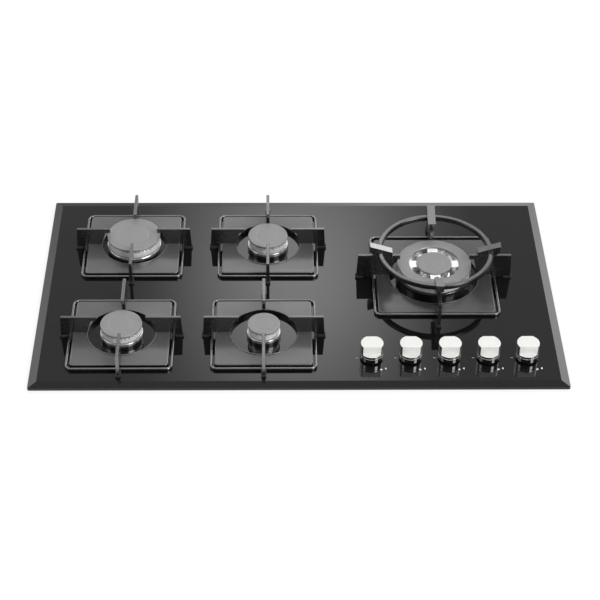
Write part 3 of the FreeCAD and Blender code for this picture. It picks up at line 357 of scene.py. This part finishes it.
# Finishes, one for each material slot of the record, and a few for parts of a piece.
# Grain, smear and scratches are counts per metre; specks are count, share, size and colour.
finishes = {
    "black_glass": {
        "dark": (0.0038, 0.0038, 0.0042), "light": (0.0052, 0.0052, 0.0056),
        "rough": (0.012, 0.035), "grain": 900, "smear": 6, "bump": 0.004,
        "specks": (260, 0.06, 0.11, (0.045, 0.045, 0.045))},
    "tray_enamel": {
        "dark": (0.062, 0.062, 0.063), "light": (0.076, 0.076, 0.077), "rough": (0.21, 0.27),
        "ior": 1.85, "grain": 1400, "smear": 9, "bump": 0.012,
        "specks": (900, 0.22, 0.30, (0.095, 0.095, 0.095))},
    # A darker copy of the tray enamel for the wok tray: painted shade
    "wok_tray_painted_shade": {
        "dark": (0.036, 0.036, 0.037), "light": (0.046, 0.046, 0.047), "rough": (0.20, 0.26),
        "ior": 1.8, "grain": 1400, "smear": 9, "bump": 0.012,
        "specks": (900, 0.22, 0.30, (0.065, 0.065, 0.065))},
    # A near-black copy of the tray enamel for the tray's steep walls: painted shade
    "wall_painted_shade": {
        "dark": (0.003, 0.003, 0.003), "light": (0.007, 0.007, 0.007), "rough": (0.30, 0.42),
        "ior": 1.35, "grain": 1400, "smear": 30, "bump": 0.06},
    "support_iron": {
        "dark": (0.004, 0.004, 0.004), "light": (0.010, 0.010, 0.010), "rough": (0.20, 0.28),
        "ior": 2.7, "grain": 2200, "smear": 30, "bump": 0.018},
    # A darker, duller copy of the support iron for the wok ring between its lugs: painted shade
    "ring_iron_painted_shade": {
        "dark": (0.003, 0.003, 0.003), "light": (0.008, 0.008, 0.008), "rough": (0.24, 0.32),
        "grain": 2200, "smear": 30, "bump": 0.02},
    "cap_enamel": {
        "dark": (0.21, 0.21, 0.21), "light": (0.25, 0.25, 0.25), "rough": (0.30, 0.40),
        "metal": 0.25, "grain": 1600, "smear": 22, "bump": 0.03, "scratches": 40,
        "scratched": (0.26, 0.26, 0.26)},
    "cup_enamel": {
        "dark": (0.008, 0.008, 0.008), "light": (0.018, 0.018, 0.018), "rough": (0.10, 0.17),
        "ior": 1.6, "grain": 1200, "smear": 40, "bump": 0.01},
    "cup_rim": {
        "dark": (0.42, 0.42, 0.43), "light": (0.54, 0.54, 0.55), "rough": (0.12, 0.20),
        "metal": 0.75, "grain": 1200, "smear": 40, "bump": 0.01},
    "burner_aluminium": {
        "dark": (0.86, 0.86, 0.87), "light": (0.95, 0.95, 0.96), "rough": (0.18, 0.28),
        "metal": 0.35, "grain": 2000, "smear": 40, "bump": 0.02, "rings": 5200},
    # A darker copy of the crown aluminium for the wok crown's trough: painted shade
    "trough_painted_shade": {
        "dark": (0.58, 0.58, 0.59), "light": (0.70, 0.70, 0.71), "rough": (0.18, 0.30),
        "metal": 1.0, "grain": 1500, "smear": 40, "bump": 0.10, "rings": 5200},
    "knob_chrome": {
        "dark": (0.46, 0.46, 0.47), "light": (0.54, 0.54, 0.55), "rough": (0.03, 0.06),
        "metal": 1.0, "grain": 700, "smear": 30, "bump": 0.01},
    "satin_face": {
        "dark": (0.650, 0.655, 0.625), "light": (0.700, 0.705, 0.675), "rough": (0.32, 0.42),
        "metal": 0.1, "grain": 2600, "smear": 50, "bump": 0.02},
    # A lighter copy of the satin for the knobs' vertical flats: painted light
    "satin_flat_painted_light": {
        "dark": (0.820, 0.825, 0.800), "light": (0.880, 0.885, 0.860), "rough": (0.32, 0.42),
        "metal": 0.1, "grain": 2600, "smear": 50, "bump": 0.02},
    "print_grey": {
        "dark": (0.62, 0.62, 0.62), "light": (0.76, 0.76, 0.76), "rough": (0.45, 0.60),
        "grain": 2400, "smear": 90, "bump": 0.10},
    "spindle_steel": {
        "dark": (0.55, 0.55, 0.56), "light": (0.66, 0.66, 0.67), "rough": (0.24, 0.36),
        "metal": 1.0, "grain": 2400, "smear": 60, "bump": 0.08},
    "tap_aluminium": {
        "dark": (0.62, 0.62, 0.63), "light": (0.74, 0.74, 0.75), "rough": (0.38, 0.52),
        "metal": 1.0, "grain": 1500, "smear": 45, "bump": 0.25},
    "pipe_aluminium": {
        "dark": (0.68, 0.68, 0.69), "light": (0.78, 0.78, 0.79), "rough": (0.28, 0.42),
        "metal": 1.0, "grain": 1900, "smear": 30, "bump": 0.08},
    "pipe_steel": {
        "dark": (0.48, 0.49, 0.50), "light": (0.60, 0.61, 0.62), "rough": (0.30, 0.44),
        "metal": 1.0, "grain": 1500, "smear": 24, "bump": 0.10},
    "galvanised_steel": {
        "dark": (0.50, 0.51, 0.52), "light": (0.68, 0.69, 0.70), "rough": (0.32, 0.50),
        "metal": 1.0, "grain": 160, "smear": 12, "bump": 0.04,
        "specks": (420, 0.5, 0.5, (0.74, 0.75, 0.76))},
    "brass": {
        "dark": (0.66, 0.49, 0.22), "light": (0.80, 0.62, 0.31), "rough": (0.24, 0.40),
        "metal": 1.0, "grain": 1700, "smear": 60, "bump": 0.08},
    "rubber": {
        "dark": (0.014, 0.014, 0.014), "light": (0.026, 0.026, 0.026), "rough": (0.60, 0.78),
        "grain": 1500, "smear": 50, "bump": 0.20},
    "seal_foam": {
        "dark": (0.035, 0.035, 0.035), "light": (0.085, 0.085, 0.085), "rough": (0.82, 0.95),
        "grain": 1300, "smear": 30, "bump": 0.60},
    "black_plastic": {
        "dark": (0.022, 0.022, 0.022), "light": (0.036, 0.036, 0.036), "rough": (0.42, 0.56),
        "grain": 1800, "smear": 40, "bump": 0.20},
    "white_plastic": {
        "dark": (0.72, 0.72, 0.70), "light": (0.82, 0.82, 0.80), "rough": (0.42, 0.55),
        "grain": 1800, "smear": 40, "bump": 0.12},
    "grey_plastic": {
        "dark": (0.25, 0.26, 0.27), "light": (0.33, 0.34, 0.35), "rough": (0.44, 0.58),
        "grain": 1700, "smear": 24, "bump": 0.25},
    "lead_silicone": {
        "dark": (0.60, 0.58, 0.52), "light": (0.74, 0.72, 0.66), "rough": (0.50, 0.64),
        "grain": 1200, "smear": 40, "bump": 0.12},
}
everyFinish = {"bumpDepth": 0.0004, "ringShare": 0.5, "wornRough": 0.1, "metal": 0.0, "ior": 1.5}


def makeFinish(name, look):
    look = {**everyFinish, **look}
    material, tree, shader = newMaterial(name)
    coordinate = tree.nodes.new("ShaderNodeTexCoord")
    place = coordinate.outputs["Object"]
    grain = effect(tree, "grain", Vector=place, Scale=look["grain"])
    mask = grain["Mask"]
    height = grain["Height"]
    if "rings" in look:
        turned = effect(tree, "turned", Map=coordinate.outputs["UV"], Rings=look["rings"])
        mask = mixNumber(tree, look["ringShare"], mask, turned["Mask"])
        height = mixNumber(tree, look["ringShare"], height, turned["Height"])
    colour = mixColour(tree, mask, look["dark"], look["light"])
    if "specks" in look:
        scale, share, size, speckColour = look["specks"]
        specks = effect(tree, "specks", Vector=place, Scale=scale, Share=share, Size=size)
        colour = mixColour(tree, specks["Mask"], colour, speckColour)
    smears = effect(tree, "smears", Vector=place, Scale=look["smear"])
    rough = remap(tree, smears["Mask"], 0.0, 1.0, *look["rough"])
    if "scratches" in look:
        worn = effect(tree, "scratches", Vector=place, Scale=look["scratches"])["Mask"]
        colour = mixColour(tree, worn, colour, look["scratched"])
        rough = mixNumber(tree, worn, rough, look["rough"][1] + look["wornRough"])
    bump = tree.nodes.new("ShaderNodeBump")
    feedAll(tree, bump, {"Strength": look["bump"], "Distance": look["bumpDepth"],
                         "Height": height})
    feedAll(tree, shader, {"Base Color": colour, "Roughness": rough, "Normal": bump.outputs[0],
                           "Metallic": look["metal"], "IOR": look["ior"]})
    return material


made = {name: makeFinish(name, look) for name, look in finishes.items()}

# Spark electrodes: glazed white bodies with a steel pin above and a terminal below
electrode = {"glaze": (0.84, 0.83, 0.79), "shade": (0.74, 0.73, 0.69), "pin": (0.55, 0.55, 0.56),
             "bodyTop": 0.0699, "bodyBottom": 0.0241, "smear": 300, "rough": (0.16, 0.30)}


def makeElectrodeFinish():
    material, tree, shader = newMaterial("ceramic")
    place = tree.nodes.new("ShaderNodeTexCoord").outputs["Object"]
    split = tree.nodes.new("ShaderNodeSeparateXYZ")
    tree.links.new(place, split.inputs[0])
    over = mathNode(tree, "GREATER_THAN", split.outputs[2], electrode["bodyTop"])
    under = mathNode(tree, "LESS_THAN", split.outputs[2], electrode["bodyBottom"])
    steel = mathNode(tree, "MAXIMUM", over, under)
    smears = effect(tree, "smears", Vector=place, Scale=electrode["smear"])["Mask"]
    glaze = mixColour(tree, smears, electrode["glaze"], electrode["shade"])
    feedAll(tree, shader, {"Base Color": mixColour(tree, steel, glaze, electrode["pin"]),
                           "Metallic": steel,
                           "Roughness": remap(tree, smears, 0.0, 1.0, *electrode["rough"])})
    return material


made["ceramic"] = makeElectrodeFinish()
for node, slot in slotOf.items():
    nodes[node].data.materials.clear()
    nodes[node].data.materials.append(made[slot])
print("finishes made:", len(made))

# Mesh helpers. Pieces are built in the frame's own place, in metres, from sizes in millimetres,
# and their objects stay at the origin. Angles are in degrees.
shaping = {"flatAngle": 0.6, "smoothAngle": 30, "bevelAngle": 35, "latheAngle": 48,
           "cornerReach": 0.45, "cornerSteps": 3}


def addPiece(name, mesh, node, extra=False):
    # The piece rides on the node's body, and takes the node's place unless it is an extra
    piece = bpy.data.objects.new(name, mesh)
    bpy.context.scene.collection.objects.link(piece)
    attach(piece, bodyOf[node])
    if not extra:
        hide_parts(node)
    return piece


def meshFrom(work, name):
    mesh = bpy.data.meshes.new(name)
    work.to_mesh(mesh)
    work.free()
    return mesh


def shadeSmooth(mesh, angle):
    mesh.polygons.foreach_set("use_smooth", [True] * len(mesh.polygons))
    mesh.set_sharp_from_angle(angle=math.radians(angle))


def mergedCopy(node):
    work = bmesh.new()
    work.from_mesh(nodes[node].data)
    bmesh.ops.remove_doubles(work, verts=work.verts, dist=tiny)
    bmesh.ops.dissolve_limit(work, angle_limit=math.radians(shaping["flatAngle"]),
                             verts=work.verts, edges=work.edges)
    return work


def roundedEdges(mesh, width, segments):
    # The edges are rounded by a modifier, and the flat faces keep their own normals
    holder = bpy.data.objects.new("holder", mesh)
    bpy.context.scene.collection.objects.link(holder)
    bevel = holder.modifiers.new("edges", "BEVEL")
    bevel.width = width
    bevel.segments = segments
    bevel.limit_method = "ANGLE"
    bevel.angle_limit = math.radians(shaping["bevelAngle"])
    bevel.miter_outer = "MITER_ARC"
    weighted = holder.modifiers.new("normals", "WEIGHTED_NORMAL")
    weighted.keep_sharp = True
    graph = bpy.context.evaluated_depsgraph_get()
    result = bpy.data.meshes.new_from_object(holder.evaluated_get(graph), depsgraph=graph)
    bpy.data.objects.remove(holder)
    return result


def mapTurned(mesh, centres):
    # The map runs round the nearest centre and along the profile, without a seam in any face
    layer = mesh.uv_layers[0] if mesh.uv_layers else mesh.uv_layers.new(name="turned")
    for face in mesh.polygons:
        middle = face.center
        centre = min(centres, key=lambda spot: (middle.x - spot[0]) ** 2
                     + (middle.y - spot[1]) ** 2)
        first = None
        for loop in face.loop_indices:
            spot = mesh.vertices[mesh.loops[loop].vertex_index].co
            away = Vector((spot.x - centre[0], spot.y - centre[1]))
            share = math.atan2(away.y, away.x) / (2 * math.pi)
            first = share if first is None else first
            share += round(first - share)
            layer.data[loop].uv = (share, away.length - spot.z)


def dress(name, node, look):
    # A merged copy of a CAD node with its edges rounded, which takes the node's place
    mesh = meshFrom(mergedCopy(node), name)
    shadeSmooth(mesh, shaping["smoothAngle"])
    mesh = roundedEdges(mesh, look["edge"] * mm, look["segments"])
    mesh.name = name
    mesh.materials.clear()
    mesh.materials.append(made[slotOf[node]])
    return addPiece(name, mesh, node)


def softened(profile, rounding):
    # Each corner of a closed profile becomes a short arc
    points = []
    steps = shaping["cornerSteps"]
    most = shaping["cornerReach"]
    for place, here in enumerate(profile):
        before = Vector(profile[place - 1])
        after = Vector(profile[(place + 1) % len(profile)])
        corner = Vector(here)
        reach = min(rounding, (before - corner).length * most, (after - corner).length * most)
        if corner.x < tiny or reach < tiny:
            points.append(corner)
            continue
        start = corner + (before - corner).normalized() * reach
        end = corner + (after - corner).normalized() * reach
        for step in range(steps + 1):
            share = step / steps
            points.append(start.lerp(corner, share).lerp(corner.lerp(end, share), share))
    return points


def lathe(name, node, centre, profile, rounding, segments):
    # A closed profile of radius and height over the glass, turned about a vertical axis
    profile = [(radius * mm, level * mm) for radius, level in profile]
    work = bmesh.new()
    rings = []
    for point in softened(profile, rounding * mm):
        spots = segments if point.x >= tiny else 1
        ring = []
        for step in range(spots):
            angle = 2 * math.pi * step / segments
            reach = point.x if spots > 1 else 0.0
            ring.append(work.verts.new((centre[0] + reach * math.cos(angle),
                                        centre[1] + reach * math.sin(angle),
                                        glassTop + point.y)))
        rings.append(ring)
    for place, ring in enumerate(rings):
        other = rings[(place + 1) % len(rings)]
        for step in range(segments):
            follow = (step + 1) % segments
            if len(ring) == 1 and len(other) == 1:
                break
            if len(ring) == 1:
                work.faces.new((ring[0], other[follow], other[step]))
            elif len(other) == 1:
                work.faces.new((ring[step], ring[follow], other[0]))
            else:
                work.faces.new((ring[step], ring[follow], other[follow], other[step]))
    bmesh.ops.recalc_face_normals(work, faces=work.faces)
    mesh = meshFrom(work, name)
    shadeSmooth(mesh, shaping["latheAngle"])
    mapTurned(mesh, [centre])
    mesh.materials.append(made[slotOf[node]])
    return addPiece(name, mesh, node)


def middleOf(node):
    low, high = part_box(node)
    return ((low.x + high.x) / 2, (low.y + high.y) / 2)


burnerPlaces = {name: middleOf("burner_cap_" + name) for name in smallBurners}
burnerPlaces["wok"] = middleOf("burner_cap_wok_outer")

# Burner caps: enamelled discs with a rounded rim, a turned groove and a very slight crown.
# The wok burner has a small one inside a ring.
cap = {"thickness": 4.0, "edge": 1.2, "rimShare": 0.3, "crown": 0.02, "grooveShare": 0.57,
       "grooveWidth": 1.6, "grooveDepth": 0.4, "rounding": 0.5, "segments": 128,
       "ringSegments": 160, "spigotDepth": 3.0, "spigotWall": 2.5, "spigotInset": 6.8,
       "innerInset": 4.8, "ringHole": 44.0}


def spigotPath(outer, under, spigot):
    # From the spigot's inner wall down, out and up to the cap's rim
    low = under - cap["spigotDepth"]
    wall = spigot - cap["spigotWall"]
    return [(wall, under), (wall, low), (spigot, low), (spigot, under),
            (outer - cap["edge"] / 2, under), (outer, under + cap["edge"] / 2)]


def discProfile(outer, top, inset):
    edge = cap["edge"]
    rim = edge * cap["rimShare"]
    under = top - cap["thickness"]
    groove = outer * cap["grooveShare"]
    half = cap["grooveWidth"] / 2
    return [(0, under), *spigotPath(outer, under, outer - inset), (outer, top - edge),
            (outer - rim, top - rim), (outer - edge, top - cap["crown"]), (groove + half, top),
            (groove, top - cap["grooveDepth"]), (groove - half, top), (0, top)]


def ringProfile(outer, top, inset):
    edge = cap["edge"]
    hole = cap["ringHole"]
    under = top - cap["thickness"]
    return [(hole, under), *spigotPath(outer, under, outer - inset), (outer, top - edge),
            (outer - edge, top), (hole + edge, top), (hole, top - edge)]


def turnCap(name, profile, inset, segments):
    node = "burner_cap_" + name
    low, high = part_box(node)
    outer = (high.x - low.x) / 2 / mm
    top = (high.z - glassTop) / mm
    place = burnerPlaces.get(name, burnerPlaces["wok"])
    lathe("cap_" + name + "_looks", node, place, profile(outer, top, inset), cap["rounding"],
          segments)


for name in smallBurners:
    turnCap(name, discProfile, cap["spigotInset"], cap["segments"])
turnCap("wok_inner", discProfile, cap["innerInset"], cap["segments"])
turnCap("wok_outer", ringProfile, cap["spigotInset"], cap["ringSegments"])
print("caps done")

# Crowns keep the CAD's ports and necks, with their edges broken. The wok crown's trough is painted
# darker, as painted shade in the recess.
crown = {"edge": 0.25, "segments": 2, "trough": (29.0, 46.0), "sill": 27.0}
for name in allBurners:
    piece = dress("crown_" + name + "_looks", "burner_crown_" + name, crown)
    mapTurned(piece.data, [burnerPlaces[name]])
mesh = piece.data  # the last one is the wok burner's
mesh.materials.append(made["trough_painted_shade"])
inner, outer = crown["trough"]
for face in mesh.polygons:
    away = math.dist(face.center[:2], burnerPlaces["wok"]) / mm
    if inner < away < outer and face.center.z < glassTop + crown["sill"] * mm:
        face.material_index = 1

# Cups: the small ones, to the left of the wok burner's, take the bright metal near the top, and
# below that level keep the dark enamel as painted shade, so the low band and its reflection in the
# glass read dark
cups = {"edge": 0.3, "segments": 2, "paintedShadeBelow": 5.5, "wokReach": 120}
mesh = dress("cups_looks", "burner_cups", cups).data
level = glassTop + cups["paintedShadeBelow"] * mm
wokLeft = burnerPlaces["wok"][0] - cups["wokReach"] * mm
work = bmesh.new()
work.from_mesh(mesh)
bmesh.ops.bisect_plane(work, geom=work.verts[:] + work.edges[:] + work.faces[:], dist=tiny,
                       plane_co=(0, 0, level), plane_no=(0, 0, 1))
work.to_mesh(mesh)
work.free()
mesh.materials.append(made["cup_rim"])
# Bright metal above the level; the dark enamel left below it is painted shade
for face in mesh.polygons:
    if face.center.z > level and face.center.x < wokLeft:
        face.material_index = 1
mapTurned(mesh, list(burnerPlaces.values()))
print("crowns and cups done")

# Trays: a pressed plate with rolled edges, a bead round its hole and a hollow below. Its steep
# walls, round the hole and at the rim, are painted near black as painted shade.
tray = {"corner": 6.0, "edge": 2.0, "edgeSteps": 6, "margin": 0.6, "sheet": 1.2,
        "hole": 57.5, "wokHole": 79.0, "beadWidth": 2.6, "beadHeight": 1.0, "beadEdge": 0.6,
        "beadSteps": 4, "beadFoot": 0.05, "perCorner": 10, "perSide": 14,
        "smoothAngle": 50, "wallNormal": 0.35}


def quarterTurn(steps):
    # The sine and cosine at each step of a right angle
    angles = [math.pi / 2 * step / steps for step in range(steps + 1)]
    return [(math.sin(angle), math.cos(angle)) for angle in angles]


def squareRing(half, corner):
    points = []
    straight = half - corner
    for quarter in range(4):
        turn = Matrix.Rotation(quarter * math.pi / 2, 2)
        for step in range(tray["perSide"]):
            along = straight * (2 * step / tray["perSide"] - 1)
            points.append(turn @ Vector((half, along)))
        for rise, run in quarterTurn(tray["perCorner"])[:-1]:
            points.append(turn @ Vector((straight + corner * run, straight + corner * rise)))
    return points


def roundRing(radius, half):
    # As many points as a square ring has, each in the direction of its partner
    return [point.normalized() * radius for point in squareRing(half, tray["corner"])]


def trayRings(half, hole, height):
    edge = tray["edge"]
    corner = tray["corner"]
    margin = tray["margin"]
    sheet = tray["sheet"]
    rim = tray["beadEdge"]
    top = height + tray["beadHeight"]
    outside = hole + tray["beadWidth"]
    rings = [(squareRing(half, corner), 0.0)]
    for rise, run in quarterTurn(tray["edgeSteps"]):
        inset = edge * (1 - run)
        rings.append((squareRing(half - inset, corner - inset), height - edge + edge * rise))
    rings.append((squareRing(half - edge - margin, corner - edge - margin), height))
    rings.append((roundRing(outside + margin, half), height))
    rings.append((roundRing(outside, half), height + tray["beadFoot"]))
    for rise, run in quarterTurn(tray["beadSteps"]):
        rings.append((roundRing(outside - rim * (1 - run), half), top - rim + rim * rise))
    for rise, run in quarterTurn(tray["beadSteps"]):
        rings.append((roundRing(hole + rim * (1 - rise), half), top - rim + rim * run))
    rings.append((roundRing(hole, half), 0.0))
    rings.append((roundRing(hole + sheet, half), 0.0))
    rings.append((roundRing(hole + sheet, half), height - sheet))
    rings.append((squareRing(half - sheet, corner - sheet), height - sheet))
    rings.append((squareRing(half - sheet, corner - sheet), 0.0))
    return rings


def pressTray(name):
    node = "drip_tray_" + name
    low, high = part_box(node)
    x, y = middleOf(node)
    half = (high.x - low.x) / 2 / mm
    hole = tray["wokHole"] if name == "wok" else tray["hole"]
    height = (high.z - glassTop) / mm - tray["beadHeight"]
    work = bmesh.new()
    loops = [[work.verts.new((x + point.x * mm, y + point.y * mm, glassTop + level * mm))
              for point in ring] for ring, level in trayRings(half, hole, height)]
    count = len(loops[0])
    for place, loop in enumerate(loops):
        other = loops[(place + 1) % len(loops)]
        for step in range(count):
            follow = (step + 1) % count
            work.faces.new((loop[step], loop[follow], other[follow], other[step]))
    bmesh.ops.recalc_face_normals(work, faces=work.faces)
    mesh = meshFrom(work, "tray_" + name + "_looks")
    shadeSmooth(mesh, tray["smoothAngle"])
    # The wok tray takes the darker copy of the enamel, which is painted shade
    mesh.materials.append(made["wok_tray_painted_shade" if name == "wok" else "tray_enamel"])
    mesh.materials.append(made["wall_painted_shade"])
    # Steep walls take the near-black finish, which is painted shade
    for face in mesh.polygons:
        if abs(face.normal.z) < tray["wallNormal"]:
            face.material_index = 1
    addPiece(mesh.name, mesh, node)


# Pan supports on rubber feet
support = {"edge": 0.7, "segments": 3}
foot = {"edge": 0.5, "segments": 3}
for name in allBurners:
    pressTray(name)
    dress("support_" + name + "_looks", "pan_support_" + name, support)
    dress("feet_" + name + "_looks", "support_feet_" + name, foot)

# Wok ring, darker between its lugs: a darker, duller copy of the iron there is painted shade
ring = {"edge": 0.8, "segments": 3, "radii": (92.0, 103.0), "lugHalf": 7.4}
mesh = dress("wok_ring_looks", "wok_ring", ring).data
mesh.materials.append(made["ring_iron_painted_shade"])
inner, outer = ring["radii"]
for face in mesh.polygons:
    away = Vector((face.center.x - burnerPlaces["wok"][0],
                   face.center.y - burnerPlaces["wok"][1])) / mm
    if min(abs(away.x), abs(away.y)) > ring["lugHalf"] and inner < away.length < outer:
        face.material_index = 1
print("trays, supports and wok ring done")

# Knobs: satin tops and ledges, flats painted lighter than the tops as painted light, polished
# sides, and a painted highlight line of bright satin in the groove
knob = {"edge": 0.5, "segments": 3, "flatLevel": 16.7, "flatNormal": 0.9, "ledgeLevel": 15.0,
        "ledgeNormal": 0.6, "groove": (11.3, 13.0)}
for name in knobNames:
    mesh = dress(name + "_looks", name, knob).data
    mesh.materials.append(made["satin_face"])
    mesh.materials.append(made["satin_flat_painted_light"])
    mapTurned(mesh, [middleOf(name)])
    for face in mesh.polygons:
        level = (face.center.z - glassTop) / mm
        # The groove faces take the bright satin as a painted highlight line
        paintedGrooveHighlight = knob["groove"][0] < level < knob["groove"][1]
        if abs(face.normal.y) > knob["flatNormal"] and level > knob["flatLevel"]:
            face.material_index = 2
        elif paintedGrooveHighlight or face.normal.z > knob["ledgeNormal"] and level > knob["ledgeLevel"]:
            face.material_index = 1
print("knobs done")

# Glass: its ground edge is rounded a little
glass = {"edge": 0.4, "segments": 2}
dress("glass_looks", "glass_top", glass)

# Printed marks: a dash, a dot and a flame beside each knob. Places are from the knob's middle.
marks = {"pitch": 65.5, "thickness": 0.04, "cornerSteps": 4,
         "dash": (-24.7, 0.0), "dashWidth": 4.5, "dashHeight": 1.1, "dashCorner": 0.45,
         "dot": (15.0, -29.0), "dotRadius": 1.9, "dotPoints": 24,
         "flame": (22.7, -26.0), "flameBottom": 4.2, "flameTop": 2.0, "flameWidth": 3.2,
         "flameCorner": 0.6}


def solidMark(tree, curve, place, thickness):
    # The outline is filled, given a top, sides and an underside, and moved to its place
    fill = tree.nodes.new("GeometryNodeFillCurve")
    fill.mode = "NGONS"
    lift = tree.nodes.new("GeometryNodeExtrudeMesh")
    raised = tree.nodes.new("ShaderNodeCombineXYZ")
    under = tree.nodes.new("GeometryNodeFlipFaces")
    join = tree.nodes.new("GeometryNodeJoinGeometry")
    move = tree.nodes.new("GeometryNodeTransform")
    feedAll(tree, fill, {"Curve": curve})
    feedAll(tree, raised, {"Z": thickness})
    feedAll(tree, lift, {"Mesh": fill.outputs[0], "Offset": raised.outputs[0],
                         "Offset Scale": 1.0, "Individual": False})
    feedAll(tree, under, {"Mesh": fill.outputs[0]})
    tree.links.new(lift.outputs["Mesh"], join.inputs[0])
    tree.links.new(under.outputs[0], join.inputs[0])
    feedAll(tree, move, {"Geometry": join.outputs[0], "Translation": place})
    return move.outputs[0]


def rounded(tree, curve, radius):
    fillet = tree.nodes.new("GeometryNodeFilletCurve")
    fillet.mode = "POLY"
    feedAll(tree, fillet, {"Curve": curve, "Radius": radius, "Count": marks["cornerSteps"]})
    return fillet.outputs[0]


def markTree():
    tree = bpy.data.node_groups.new("printedMarks", "GeometryNodeTree")
    kinds = {"Vector": ("Start", "Dash Place", "Dot Place", "Flame Place"),
             "Float": ("Pitch", "Thickness", "Dash Width", "Dash Height", "Dash Corner",
                       "Dot Radius", "Flame Bottom", "Flame Top", "Flame Width", "Flame Corner"),
             "Int": ("Count", "Dot Points"),
             "Material": ("Material",)}
    for kind, labels in kinds.items():
        for label in labels:
            tree.interface.new_socket(label, in_out="INPUT", socket_type="NodeSocket" + kind)
    tree.interface.new_socket("Geometry", in_out="OUTPUT", socket_type="NodeSocketGeometry")
    given = tree.nodes.new("NodeGroupInput").outputs
    result = tree.nodes.new("NodeGroupOutput").inputs
    step = tree.nodes.new("ShaderNodeCombineXYZ")
    row = tree.nodes.new("GeometryNodeMeshLine")
    feedAll(tree, step, {"X": given["Pitch"]})
    feedAll(tree, row, {"Count": given["Count"], "Start Location": given["Start"],
                        "Offset": step.outputs[0]})
    dash = tree.nodes.new("GeometryNodeCurvePrimitiveQuadrilateral")
    feedAll(tree, dash, {"Width": given["Dash Width"], "Height": given["Dash Height"]})
    dot = tree.nodes.new("GeometryNodeCurvePrimitiveCircle")
    feedAll(tree, dot, {"Resolution": given["Dot Points"], "Radius": given["Dot Radius"]})
    flame = tree.nodes.new("GeometryNodeCurvePrimitiveQuadrilateral")
    flame.mode = "KITE"
    feedAll(tree, flame, {"Bottom Height": given["Flame Bottom"],
                          "Top Height": given["Flame Top"], "Width": given["Flame Width"]})
    outlines = {"Dash": rounded(tree, dash.outputs[0], given["Dash Corner"]),
                "Dot": dot.outputs[0],
                "Flame": rounded(tree, flame.outputs[0], given["Flame Corner"])}
    sets = tree.nodes.new("GeometryNodeJoinGeometry")
    for label, curve in outlines.items():
        shape = solidMark(tree, curve, given[label + " Place"], given["Thickness"])
        tree.links.new(shape, sets.inputs[0])
    spread = tree.nodes.new("GeometryNodeInstanceOnPoints")
    feedAll(tree, spread, {"Points": row.outputs[0], "Instance": sets.outputs[0]})
    real = tree.nodes.new("GeometryNodeRealizeInstances")
    tree.links.new(spread.outputs[0], real.inputs[0])
    finish = tree.nodes.new("GeometryNodeSetMaterial")
    feedAll(tree, finish, {"Geometry": real.outputs[0], "Material": given["Material"]})
    tree.links.new(finish.outputs[0], result[0])
    return tree


def grownMesh(name, tree, values):
    holder = bpy.data.objects.new("holder", bpy.data.meshes.new("holder"))
    bpy.context.scene.collection.objects.link(holder)
    grow = holder.modifiers.new("grow", "NODES")
    grow.node_group = tree
    for item in tree.interface.items_tree:
        if item.in_out == "INPUT":
            grow[item.identifier] = values[item.name]
    graph = bpy.context.evaluated_depsgraph_get()
    mesh = bpy.data.meshes.new_from_object(holder.evaluated_get(graph), depsgraph=graph)
    bpy.data.objects.remove(holder)
    mesh.name = name
    return mesh


def inMetres(sizes):
    # A size in millimetres, or a place on the glass given by its two sizes
    if isinstance(sizes, tuple):
        return (sizes[0] * mm, sizes[1] * mm, 0.0)
    return sizes * mm


markSizes = {label: inMetres(marks[key]) for label, key in (
    ("Pitch", "pitch"), ("Thickness", "thickness"), ("Dash Place", "dash"),
    ("Dash Width", "dashWidth"), ("Dash Height", "dashHeight"), ("Dash Corner", "dashCorner"),
    ("Dot Place", "dot"), ("Dot Radius", "dotRadius"), ("Flame Place", "flame"),
    ("Flame Bottom", "flameBottom"), ("Flame Top", "flameTop"), ("Flame Width", "flameWidth"),
    ("Flame Corner", "flameCorner"))}
start = (*middleOf("knob_1"), glassTop + marks["thickness"] * mm / 2)
mesh = grownMesh("printed_marks", markTree(), {
    **markSizes, "Start": start, "Count": len(knobNames), "Dot Points": marks["dotPoints"],
    "Material": made["print_grey"]})
addPiece("printed_marks", mesh, "glass_top", extra=True)
print("glass and marks done:", len(mesh.polygons), "faces in the marks")

bpy.context.scene.view_settings.view_transform = "Standard"
